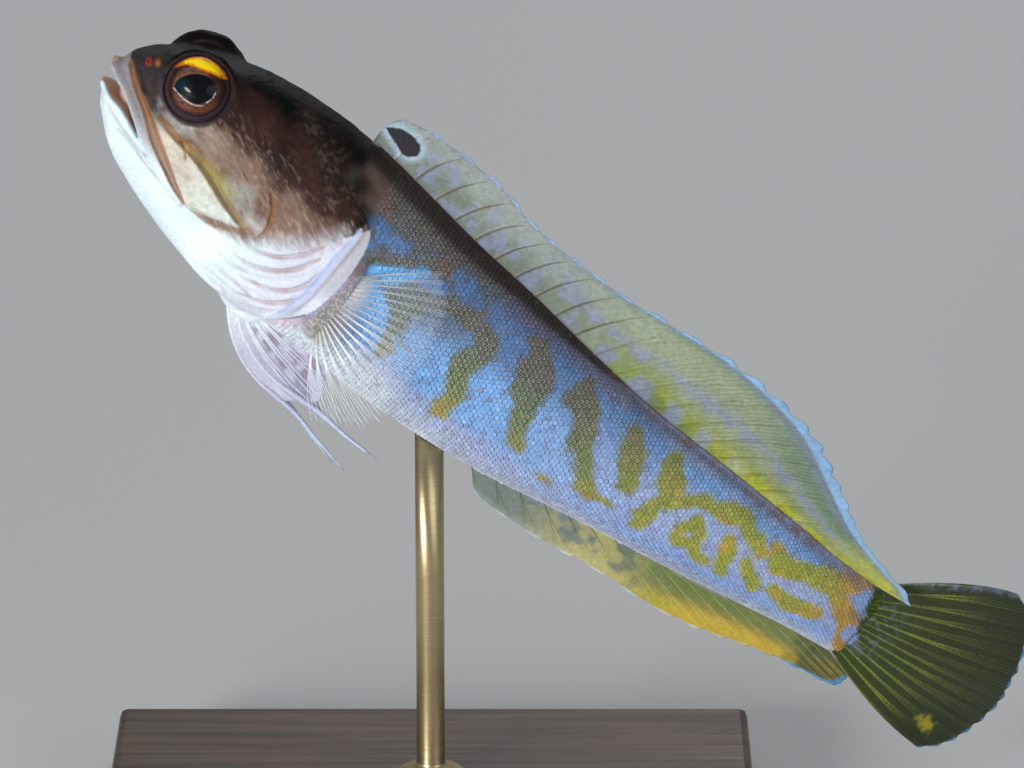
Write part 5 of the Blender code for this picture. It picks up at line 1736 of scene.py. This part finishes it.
def pelvic_fin(side, word, paths):
    """One pelvic fin. The right one stands closer in and hangs lower than the left one."""
    rays = paths.copy()
    if side > 0:
        first = rays[:, :1]
        turn = PELVIC_DROP[side]
        s, out, h = np.moveaxis(rays - first, 2, 0)
        lower_s = s * math.cos(turn) + h * math.sin(turn)
        lower_h = h * math.cos(turn) - s * math.sin(turn)
        rays = first + np.stack((lower_s, out * PELVIC_CLOSE, lower_h), -1)
    rays[..., 1] *= side
    count, steps = rays.shape[:2]
    at = np.linspace(0, 1, steps)

    def spot(place, way):
        low = int(min(math.floor(place), count - 2))
        line = lerp(rays[low], rays[low + 1], place - low)
        return np.array([np.interp(way, at, line[:, k]) for k in range(3)])

    def root(place):
        return tuple(spot(place, 0.0))

    def tip(place):
        return tuple(spot(place, 1.0))

    def bow(place, way):
        start, end = spot(place, 0.0), spot(place, 1.0)
        return tuple(spot(place, way) - start - (end - start) * way)

    def web(place):
        return float(np.interp(place, range(count), PELVIC_WEB))

    splay = PELVIC_SPLAY[side]
    facing = np.array((-math.sin(splay), side * math.cos(splay), 0.0))
    grid = fin_grid(
        count, root, tip, lambda place: tuple(facing), columns=12, rows=PELVIC_STEPS, notch=web, bow=bow,
        free=0.1, crowd=1.0,
    )
    way, place = grid["way"], grid["place"]
    spotty = ramp(-0.4, 0.2, mottle(grid, 0.7)) * ramp(1.8, 2.6, place)
    tint = stops(way, (0.0, RAY_WHITE), (0.25, PELVIC_LILAC), (1.0, PELVIC_LILAC))
    tint = over(tint, PELVIC_PURPLE, spotty * 0.75)
    clear = lerp(0.85, 0.7, ramp(1.5, 3.0, place)) + 0.15 * ramp(4.0, 4.6, place)
    half = lerp(0.2, 0.05, ramp(1.0, 2.0, place)) * lerp(1.0, 0.4, ramp(0.4, 0.9, way))
    parts = [sheet_parts(grid, half, np.dstack((tint, clear)))]
    fine = np.linspace(0, 1, PELVIC_STEPS)
    for number in range(count):
        strands = 1 if number < 2 else 2
        for strand_number in range(strands):
            lean = strand_number - (strands - 1) / 2
            path = np.array([spot(number, way) for way in fine])
            beside = np.array([0.0, 0.0, 1.0]) * (lean * (0.12 + 0.5 * fine))[:, None]
            thick = PELVIC_THICK[number]
            sizes = thick * np.minimum(1, 2 * (1 - fine)) ** 0.8 + 0.02
            if number < 2:
                sizes = sizes * lerp(0.6, 1.0, ramp(0.35, 0.6, fine))
            repeat = np.repeat(fine, STRAND_SIDES)
            core = stops(
                repeat, (0.0, RAY_WHITE), (0.4, PELVIC_LILAC), (0.65, PELVIC_CORE), (1.0, FILAMENT),
            )
            rim = stops(repeat, (0.0, RAY_WHITE), (0.5, PELVIC_LILAC), (1.0, FILAMENT))
            shown = np.full((len(repeat), 1), 0.92)
            core, rim = np.hstack((core, shown)), np.hstack((rim, shown))
            parts.append(strand(path + beside, sizes, core, rim, facing))
    return joined(f"pelvic_rays_{word}", *parts)


def add_fins():
    """All the fins, in place of the solids' fins."""
    firm = fin_material("fin_membrane", 0.35)
    thin = fin_material("clear_fin", 0.3)
    pale = fin_material("pelvic_membrane", 0.35)
    made = [
        (dorsal_fin(), "dorsal_fin", firm, "fin_membrane"),
        (anal_fin(), "anal_fin", firm, "fin_membrane"),
        (caudal_fin(), "caudal_fin", firm, "fin_membrane"),
    ]
    paths = pelvic_paths()
    for side, word in SIDES:
        made.append((pectoral_fin(side, word), f"pectoral_fin_{word}", thin, "clear_fin"))
        made.append((pelvic_fin(side, word, paths), f"pelvic_fin_{word}", pale, "pelvic_membrane"))
    for item, node, paint, slot in made:
        item.data.materials.append(paint)
        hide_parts(node)
        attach(item, "root")


# The eyes

PUPIL = rounded((
    (174, 87), (176, 82), (181, 77.5), (189, 74.5), (198, 74), (207, 76.5), (214, 82), (216, 89),
    (213, 96), (207, 101.5), (199, 104.5), (191, 102.5), (183, 96), (177, 91), (174, 87),
), 3)
GOLD = rounded((
    (174, 67), (181, 62), (190, 58), (199, 57), (209, 60), (218, 66), (225, 74), (227, 79), (221, 77.5),
    (214, 74), (206, 71), (197, 67.5), (188, 64.5), (181, 65), (174, 67),
), 3)
SILVER = rounded(((174, 88), (181, 96.5), (188, 102), (196, 105.6), (204, 106)), 4)
SILVER_REAR = rounded(((206, 103), (212, 99), (215.5, 93)), 4)

# How far round to the back the eyeball's rings go, and how many points and rings it has.
EYE_ROUND = math.pi * 0.94
EYE_STEPS = ((160, 110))

# The middle and radius of the iris, and the middle of a painted teal reflection in the pupil, in image
# pixels.
EYE_SPOT = (197.5, 88.5)
GLINT_SPOT = (183, 86)
IRIS_PIXELS = 35.5
EYE_COPPER = colour(98, 54, 32)
EYE_BROWN = colour(60, 36, 30)
EYE_DARK = colour(20, 16, 21)
EYE_RIM = colour(58, 42, 42)
EYE_GREY = colour(48, 42, 54)
EYE_PALE = colour(112, 90, 78)
EYE_GOLD = colour(255, 226, 10)
EYE_AMBER = colour(226, 120, 16)
EYE_SILVER = colour(206, 220, 224)
PUPIL_BLACK = colour(8, 11, 16)
# The teal of the painted reflection in the pupil.
GLINT_TEAL = colour(14, 36, 44)


def eye_colour(places):
    """The colours of the left eye at points of the straight fish."""
    x, y = in_image(places).T
    far = np.hypot(x - EYE_SPOT[0], y - EYE_SPOT[1]) / IRIS_PIXELS
    turn = np.arctan2(y - EYE_SPOT[1], x - EYE_SPOT[0])
    flow = noise(np.column_stack((far * 6, np.cos(turn) * 2.4, np.sin(turn) * 2.4)), 0.5)
    fleck = noise(np.column_stack((x, y, 0 * x)), 1.6)
    tint = stops(
        far + 0.02 * flow, (0.0, EYE_COPPER), (0.62, EYE_COPPER), (0.74, EYE_BROWN), (0.79, EYE_DARK),
        (0.83, EYE_BROWN), (0.88, EYE_GREY), (0.93, EYE_RIM), (0.98, EYE_RIM * 0.8), (1.1, EYE_DARK),
    )
    top = np.clip((EYE_SPOT[1] - y) / IRIS_PIXELS, 0, 1)
    pale = (1 - ramp(0.62, 0.74, far)) * ramp(-0.25, 0.5, (EYE_SPOT[0] - x) / IRIS_PIXELS + top - 0.15)
    tint = over(tint, EYE_PALE, pale * 0.5)
    tint = over(tint, EYE_DARK, ramp(0.0, 0.6, fleck) * 0.5 * (1 - ramp(0.7, 0.8, far)))
    shadow = ramp(8, 20, x - EYE_SPOT[0]) * (1 - ramp(0.7, 0.85, far)) * ramp(-12, 0, 96 - y)
    tint = over(tint, EYE_DARK, shadow * 0.75)
    low = ramp(0.1, 0.8, -top + (y - EYE_SPOT[1]) / 30)
    tint = over(tint, EYE_GREY, band(far, 0.86, 0.03, 0.06) * low * 0.7)
    gold = inside_of(x, y, GOLD)
    glow = lerp(EYE_AMBER, EYE_GOLD, ramp(0.0, 3.0, -gold + 0.8 * fleck)[:, None])
    glow = over(glow, EYE_AMBER * 0.45, (1 - ramp(176, 188, x + 2 * fleck)) * 0.9)
    glow = over(glow, EYE_AMBER * 0.7, ramp(216, 225, x + 2 * fleck) * 0.8)
    tint = over(tint, glow, 1 - ramp(-0.6, 1.6, gold + 0.9 * fleck))
    pupil = inside_of(x, y, PUPIL)
    tint = over(tint, EYE_PALE, (1 - ramp(0.6, 2.0, pupil)) * 0.45 * (1 - ramp(4, 14, x - EYE_SPOT[0])))
    line = np.minimum(to_line(x, y, SILVER)[0], to_line(x, y, SILVER_REAR)[0])
    tint = over(tint, EYE_SILVER, (1 - ramp(0.0, 0.7, line + 0.3 * fleck)) * 0.7)
    # The pupil is near black, with a painted teal reflection that fades out from one spot.
    deep = over(GLINT_TEAL, PUPIL_BLACK, ramp(0.0, 13.0, np.hypot(x - GLINT_SPOT[0], y - GLINT_SPOT[1])))
    return over(tint, deep, 1 - ramp(-0.5, 0.5, pupil))


def eye_relief(places):
    """How far the iris's rims lie under the plain eyeball. Over the bulging pupil it is negative."""
    x, y = in_image(places).T
    far = np.hypot(x - EYE_SPOT[0], y - EYE_SPOT[1]) / IRIS_PIXELS
    pupil = inside_of(x, y, PUPIL)
    lens = 0.12 * (1 - ramp(-10.0, 1.0, pupil))
    return 0.05 * band(far, 0.79, 0.01, 0.04) + 0.05 * band(far, 0.95, 0.01, 0.04) - lens


def eye_middle(side):
    """The middle of one side's eye."""
    return np.array((EYE_CENTRE[0], side * EYE_CENTRE[1], EYE_CENTRE[2]))


def eye_dome(side, turns, rings):
    """The points of an eyeball, ring after ring from the middle of its front, and its faces."""
    out, level, upright = eye_axes(side)
    centre = eye_middle(side)
    round_about = np.arange(turns) * 2 * math.pi / turns
    spots = [centre + out * EYE_DEPTH]
    for angle in np.linspace(0, EYE_ROUND, rings + 1)[1:]:
        across = EYE_RADIUS * math.sin(angle)
        for turn in round_about:
            spots.append(
                centre + out * EYE_DEPTH * math.cos(angle) + level * across * math.cos(turn)
                + upright * across * math.sin(turn)
            )
    index, wall = tube_faces(rings, turns, 1)
    middle = np.column_stack((np.zeros(turns, int), np.roll(index[0], -1), index[0]))
    return np.array(spots), (wall, middle, index[-1:])


def eye(side, word):
    """An eyeball with its iris and pupil, closed behind."""
    spots, groups = eye_dome(side, *EYE_STEPS)
    out = eye_axes(side)[0]
    seen = spots * (1, -side, 1)
    front = ramp(-0.2, 0.5, (spots - spots[0]) @ out + EYE_DEPTH)
    tints = over(EYE_DARK, eye_colour(seen), front)
    inward = eye_middle(side) - spots
    inward /= np.linalg.norm(inward, axis=1)[:, None]
    spots = spots + inward * (eye_relief(seen) * front)[:, None]
    return new_mesh(f"eyeball_{word}", spots, [faces[:, ::side] for faces in groups], tints)


def add_eyes():
    gloss = eye_material()
    for side, word in SIDES:
        ball = eye(side, word)
        ball.data.materials.append(gloss)
        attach(ball, "root")
        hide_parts(f"eye_{word}")


# The scales

SCALE_FRONT = 0.54
SCALE_REAR = 0.43
SCALE_PITCH = smooth(((26, SCALE_FRONT), (60, 0.51), (94, SCALE_REAR)))
SCALE_SIDES = 8

# Each ring of a scale: its reach and lift in shares of the pitch, brightness, and share of the gap's tint.
# Brightness above 1 is painted sheen, below 1 painted shade; the gap's tint adds painted shade to the
# skin's purple.
SCALE_RINGS = (
    (0.24, 0.045, 1.05, 0.0), (0.37, 0.062, 1.5, 0.0), (0.48, 0.012, 0.62, 0.55), (0.62, -0.03, 0.5, 0.75),
)

# The middle of a scale's top and the middle of its underside: place, brightness of painted shade, gap's
# tint.
SCALE_MIDDLE = ((0.0, 0.0, 0.03), 0.8, 0.0)
SCALE_FOOT = ((-0.05, 0.0, -0.2), 0.6, 0.75)

# How a scale slopes up to its rear, its girth against its length, how far it reaches over the next
# row, and the pitch that the lifts are meant for.
SCALE_SLOPE = 0.09
SCALE_NARROW = 0.96
SCALE_REACH = 1.02
SCALE_USUAL = 0.45

# Where the scales start, end and part in two pieces, and how their rows are set.
SCALES_START = 26.4
SCALES_END = 93.6
SCALES_SPLIT = 54.0
ROW_STEP = 0.8
ROW_SHIFT = 0.5
GIRTH_POINTS = 400
BACK_MARGIN = 0.3
BELLY_MARGIN = 0.12

# The search that seats a scale on the skin: its small step, its rounds and how near is near enough.
SEAT_STEP = 0.03
SEAT_ROUNDS = 3
SEAT_NEAR = 0.05

# How unlike one another the scales are, the side their painted sheen favours, and their shade and sheen
# tints.
SCALE_SEEDS = {-1: 11, 1: 12}
SCALE_TILT = 0.012
SCALE_GROWTH = 0.03
SCALE_UNEVEN = 0.08
ODD_SHARE = 0.05
SCALE_LIGHT = 0.6
SCALE_GAP = colour(106, 80, 96)
SCALE_SHEEN = colour(186, 206, 240)

# The unwrap of the flank: where it starts, its length and height, its margin, and a scale's patch.
BAKE_START = 26.0
BAKE_LENGTH = 68.0
BAKE_HEIGHT = 40.0
BAKE_MARGIN = 0.02
BAKE_PATCH = 0.003


def scale_rows():
    """Places of the scales on one side, as s, w and h with the pitch and the unwrapped height."""
    found = []
    s = SCALES_START
    row = 0
    while s < SCALES_END:
        pitch = float(SCALE_PITCH(s))
        middle, half = float(WIDEST(s)), float(HALF_WIDTH(s))
        power = 2.0 / float(ROUNDNESS(s))
        angles = np.linspace(0, math.pi, GIRTH_POINTS)
        up, out = np.cos(angles), np.sin(angles)
        reach = np.where(up > 0, float(BACK(s)) - middle, middle - float(BELLY(s)))
        h = middle + np.sign(up) * np.abs(up) ** power * reach
        w = np.abs(out) ** power * half
        arc = np.concatenate(([0], np.cumsum(np.hypot(np.diff(h), np.diff(w)))))
        level = arc[np.argmax(w)]
        first = math.ceil((BACK_MARGIN / 2 - level) / pitch)
        last = math.floor((arc[-1] - BACK_MARGIN / 2 - level) / pitch)
        rows = np.arange(first, last + 1) + (ROW_SHIFT if row % 2 else 0.0)
        at = level + rows * pitch
        at = at[(at > BACK_MARGIN) & (at < arc[-1] - BELLY_MARGIN)]
        for spot in at:
            found.append((s, np.interp(spot, arc, w), np.interp(spot, arc, h), pitch, level - spot))
        s += pitch * ROW_STEP
        row += 1
    return np.array(found)


def field_slope(places):
    """The field and its direction at points, by small steps."""
    slope = np.column_stack([
        skin_field(*(places + way).T) - skin_field(*(places - way).T)
        for way in SEAT_STEP * np.eye(3)
    ]) / (2 * SEAT_STEP)
    return skin_field(*places.T), slope


def scale_seats():
    """Scales of one side set on the skin: places, outward and rearward directions, pitch, unwrap."""
    rows = scale_rows()
    gap = gill_step(rows[:, 0], rows[:, 2])
    tail = signed_gap(rows[:, 0], rows[:, 2], TAIL_LINE)
    lobe = spot_reach(rows[:, 0], rows[:, 2], LOBE_BARE_AT, LOBE_BARE_SIZE)
    ragged = tail + 0.9 * noise(rows[:, :3], 0.8)
    rows = rows[(gap > 0.6) & ((lobe > 1) | (rows[:, 1] < 3)) & (ragged < 0.5)]
    places = rows[:, :3].copy()
    for _ in range(SEAT_ROUNDS):
        here, slope = field_slope(places)
        steep = np.maximum(np.sum(slope**2, axis=1), 0.2)
        places -= slope * (here / steep)[:, None]
    here, slope = field_slope(places)
    good = np.abs(here) < SEAT_NEAR
    places, slope, rows = places[good], slope[good], rows[good]
    out = slope / np.linalg.norm(slope, axis=1)[:, None]
    rear = np.array((1.0, 0, 0)) - out * out[:, :1]
    rear /= np.linalg.norm(rear, axis=1)[:, None]
    return places, out, rear, rows[:, 3], rows[:, 4]


def scale_piece(name, side, seats):
    """One closed plate per seat, as one object with its unwrap."""
    places, out, rear, pitch, height = seats
    flip = np.array((1, side, 1))
    places, out, rear = places * flip, out * flip, rear * flip
    aside = np.cross(out, rear)
    count = len(places)
    random = np.random.default_rng(SCALE_SEEDS[side])
    tilt = random.normal(0, SCALE_TILT, count)
    grow = 1 + random.normal(0, SCALE_GROWTH, count)
    corners, shades, gaps = ([value] for value in SCALE_MIDDLE)
    for reach, lift, shade, dark in SCALE_RINGS:
        for k in range(SCALE_SIDES):
            turn = 2 * math.pi * (k + 0.5) / SCALE_SIDES
            x, y = reach * math.cos(turn), reach * math.sin(turn) * SCALE_NARROW
            corners.append((x, y, lift + SCALE_SLOPE * x))
            # A bright ring is a painted sheen, strongest on the side towards SCALE_LIGHT.
            lit = shade if shade < 1 else 1 + (shade - 1) * (0.55 + 0.45 * math.cos(turn - SCALE_LIGHT))
            shades.append(lit)
            gaps.append(dark)
    for found, value in zip((corners, shades, gaps), SCALE_FOOT):
        found.append(value)
    corners = np.array(corners)
    shades = np.array(shades)
    size = (pitch * grow)[:, None, None]
    raised = corners[None, :, 2:] * (pitch / SCALE_USUAL)[:, None, None] + tilt[:, None, None]
    spots = (
        places[:, None] + rear[:, None] * corners[None, :, :1] * size * SCALE_REACH
        + aside[:, None] * corners[None, :, 1:2] * size + out[:, None] * raised
    )
    n, each = SCALE_SIDES, len(corners)
    faces = []
    for k in range(n):
        m = (k + 1) % n
        faces.append((0, 1 + k, 1 + m))
        for ring in range(len(SCALE_RINGS) - 1):
            a, b = 1 + ring * n, 1 + (ring + 1) * n
            faces.append((a + k, b + k, b + m))
            faces.append((a + k, b + m, a + m))
        last = 1 + (len(SCALE_RINGS) - 1) * n
        faces.append((last + k, each - 1, last + m))
    faces = np.array(faces)
    whole = (faces[None] + (np.arange(count) * each)[:, None, None]).reshape(-1, 3)
    base = skin_colour(*places.T)
    base = base * (1 + 0.13 * noise(places + 71, 0.5))[:, None]
    covered = dark_on_back(*places.T) + white_belly(*places.T[::2])
    odd = (random.random(count) < ODD_SHARE) * (1 - dark_on_back(*places.T) - white_belly(*places.T[::2]))
    base = over(base, RUST, odd * 0.45)
    peak = np.maximum(base.max(axis=1), 0.02)[:, None]
    # The painted sheen: each scale's own hue made pale, with some SCALE_SHEEN mixed in.
    pale = 0.66 * base / peak * 0.66 + 0.34 * SCALE_SHEEN
    bright = np.clip((shades - 1) / 0.5, 0, 1)
    clear = ramp(0.75, 4.0, gill_step(places[:, 0], places[:, 2]))
    # Painted shade darkens each scale's middle and its rings under the neighbours, less near the gill
    # covers.
    painted_shade = 1 + (np.minimum(shades, 1.0) - 1)[None] * lerp(0.4, 1.0, clear)[:, None]
    tints = base[:, None] * painted_shade[..., None]
    plain = np.clip(covered, 0, 1)
    # The gaps take the dark purple of the skin beneath, deepened by painted shade.
    between = 0.75 * clear * (1 - plain) * lerp(1.0, 0.45, -rise_of(*places.T[::2]))
    tints = over(tints, SCALE_GAP * peak[:, None] * 1.6, np.array(gaps)[None] * between[:, None])
    # The painted sheen on the rims, weaker near the gill covers and on the plain back and belly.
    share = bright[None] * (lerp(0.15, 0.62, clear) * (1 - 0.94 * plain))[:, None]
    tints = over(tints, pale[:, None], share)
    tints = tints * (1 + random.normal(0, SCALE_UNEVEN, count))[:, None, None]
    item = new_mesh(name, spots.reshape(-1, 3), [whole], np.clip(tints, 0, 1).reshape(-1, 3))
    unwrap = item.data.uv_layers.new(name="OFBake")
    u = (places[:, 0] - BAKE_START) / BAKE_LENGTH * (1 - 2 * BAKE_MARGIN) + BAKE_MARGIN
    v = 0.5 + height / BAKE_HEIGHT
    patch = corners[:, :2] / 1.2 * BAKE_PATCH
    flat = np.stack((u[:, None] + patch[None, :, 0], v[:, None] + patch[None, :, 1]), -1).reshape(-1, 2)
    unwrap.data.foreach_set("uv", flat[whole.ravel()].astype(np.float32).ravel())
    return item


def white_belly(s, h):
    """How far points lie in the pale skin of the belly, where the scales show least."""
    return (1 - ramp(-0.9, -0.6, rise_of(s, h))) * (1 - 0.5 * ramp(40, 60, s))


def add_scales():
    """The scales behind the gill covers, in four pieces."""
    seats = scale_seats()
    paint = skin_material("scale", 5200.0, 0.00008, roughness=0.36, shine=0.3, coat=0.1)
    ahead = seats[0][:, 0] < SCALES_SPLIT
    for side, word in SIDES:
        for part, kept in (("trunk", ahead), ("tail", ~ahead)):
            item = scale_piece(f"scales_{part}_{word}", side, [column[kept] for column in seats])
            item.data.materials.append(paint)
            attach(item, "root")


# The stand, floor, camera and light

def repaint(node, paint):
    """Gives a node of the frame another material."""
    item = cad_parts[node]
    item.data.materials.clear()
    item.data.materials.append(paint)


ROD_SIDES = 72

# How far below its top the rod's slanting end can reach, and how far the new end is let into the belly.
ROD_SLANT = 2.6
ROD_LET_IN = 0.12

# The rod's rings from its foot up, as radius and height in millimetres.
ROD_RINGS = (
    (3.62, 0.0), (3.7, 0.08), (3.62, 0.8), (3.5, 1.08), (3.3, 1.25), (2.9, 1.42), (2.4, 1.62), (2.1, 1.86),
    (1.8, 2.05), (1.6, 2.16), (1.45, 2.3), (1.4, 2.5), (1.4, 12.0), (1.4, 22.0),
)


def add_rod(paint):
    """The rod with its turned foot, round all the way, ending at the belly as the solid one does."""
    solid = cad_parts["stand_rod"]
    spots = np.array([solid.matrix_world @ vertex.co for vertex in solid.data.vertices])
    low, top = spots[:, 2].min(), spots[:, 2].max()
    ends = spots[spots[:, 2] > top - ROD_SLANT * METRE]
    flat = np.column_stack((ends[:, :2], np.ones(len(ends))))
    slope = np.linalg.lstsq(flat, ends[:, 2], rcond=None)[0]
    turns = np.arange(ROD_SIDES) * 2 * math.pi / ROD_SIDES
    rounds = np.column_stack((np.cos(turns), np.sin(turns)))
    points = []
    for radius, height in ROD_RINGS:
        ring = rounds * radius * METRE
        points.append(np.column_stack((ring, np.full(ROD_SIDES, low + height * METRE))))
    rim = rounds * ROD_RINGS[-1][0] * METRE
    points.append(np.column_stack((rim, rim @ slope[:2] + slope[2] + ROD_LET_IN * METRE)))
    index, wall = tube_faces(len(points), ROD_SIDES)
    item = set_mesh("rod", np.vstack(points), [wall, index[:1, ::-1], index[-1:]], flat_ends=True)
    item.data.materials.append(paint)
    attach(item, "root")
    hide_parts("stand_rod")


# The tints of the room, and how bright its walls are.
FLOOR_TINT = (0.62, 0.63, 0.64, 1)
ROOM_TINT = (0.78, 0.80, 0.83, 1)
ROOM_LIGHT = 0.32

# The half width of the floor and the place that the lamps shine at, in metres.
FLOOR_REACH = 3.0
LIT_AT = Vector((0.0, 0.0, 0.05))

# The lamps: name, place and width in metres, power and tint.
LAMPS = (
    ("key", (-0.36, -0.52, 0.16), 0.2, 3.8, (1.0, 0.98, 0.96)),
    ("fill", (0.5, -0.45, 0.2), 0.5, 0.9, (0.92, 0.96, 1.0)),
    ("back", (0.1, 0.5, 0.5), 0.4, 1.0, (1.0, 1.0, 1.0)),
)


def studio():
    """A pale floor, soft lights and the camera."""
    floor_mesh = bpy.data.meshes.new("floor")
    corners = [(x * FLOOR_REACH, y * FLOOR_REACH, 0) for x, y in ((-1, -1), (1, -1), (1, 1), (-1, 1))]
    floor_mesh.from_pydata(corners, [], [(0, 1, 2, 3)])
    floor = linked("floor", floor_mesh)
    paint, _, _, shader = node_material("floor")
    shader.inputs["Base Color"].default_value = FLOOR_TINT
    shader.inputs["Roughness"].default_value = 0.7
    floor_mesh.materials.append(paint)
    for name, place, size, power, tint in LAMPS:
        lamp = bpy.data.lights.new(name, "AREA")
        lamp.shape = "DISK"
        lamp.size = size
        lamp.energy = power
        lamp.color = tint
        item = linked(name, lamp)
        item.location = place
        item.rotation_euler = (LIT_AT - Vector(place)).to_track_quat("-Z", "Y").to_euler()
    world = bpy.data.worlds.new("studio")
    bpy.context.scene.world = world
    world.use_nodes = True
    walls = world.node_tree.nodes["Background"]
    walls.inputs["Color"].default_value = ROOM_TINT
    walls.inputs["Strength"].default_value = ROOM_LIGHT
    lens = bpy.data.cameras.new("camera")
    lens.lens = LENS
    lens.sensor_width = SENSOR
    lens.clip_start = 0.05
    lens.clip_end = 20.0
    camera = linked("camera", lens)
    camera.location = Vector(CAMERA_AT * METRE)
    camera.rotation_euler = Vector((LOOK_AT - CAMERA_AT).tolist()).to_track_quat("-Z", "Y").to_euler()
    bpy.context.scene.camera = camera
    bpy.context.scene.view_settings.view_transform = "Standard"


def main():
    """Everything that is seen: the skin, fins, eyes and scales, and the stand in its studio."""
    points, faces = skin_shape()
    s, w, h = points.T
    points += normals_of(points, faces) * relief(s, w, h)[:, None]
    skin = new_mesh("skin", points, [faces], skin_colour(s, w, h))
    skin.data.materials.append(skin_material("skin", 2600.0, 0.00012, roughness=0.5, shine=0.09, coat=0.0))
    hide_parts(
        "head", "lower_jaw", "throat", "gill_cover_left", "gill_cover_right", "maxilla_left",
        "maxilla_right", "trunk", "tail",
    )
    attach(skin, "root")
    add_fins()
    add_eyes()
    add_scales()
    repaint("stand_base", grained_material(
        "stand_wood", stretch=(40, 900, 900), detail=6.0, shades=WOOD_SHADES, bump=(0.25, 0.0002),
        values={"Roughness": 0.38},
    ))
    add_rod(grained_material(
        "stand_metal", stretch=(300, 300, 9000), detail=4.0, shades=METAL_SHADES, bump=(0.1, 0.0001),
        values={"Metallic": 1.0, "Roughness": 0.32},
    ))
    studio()


main()
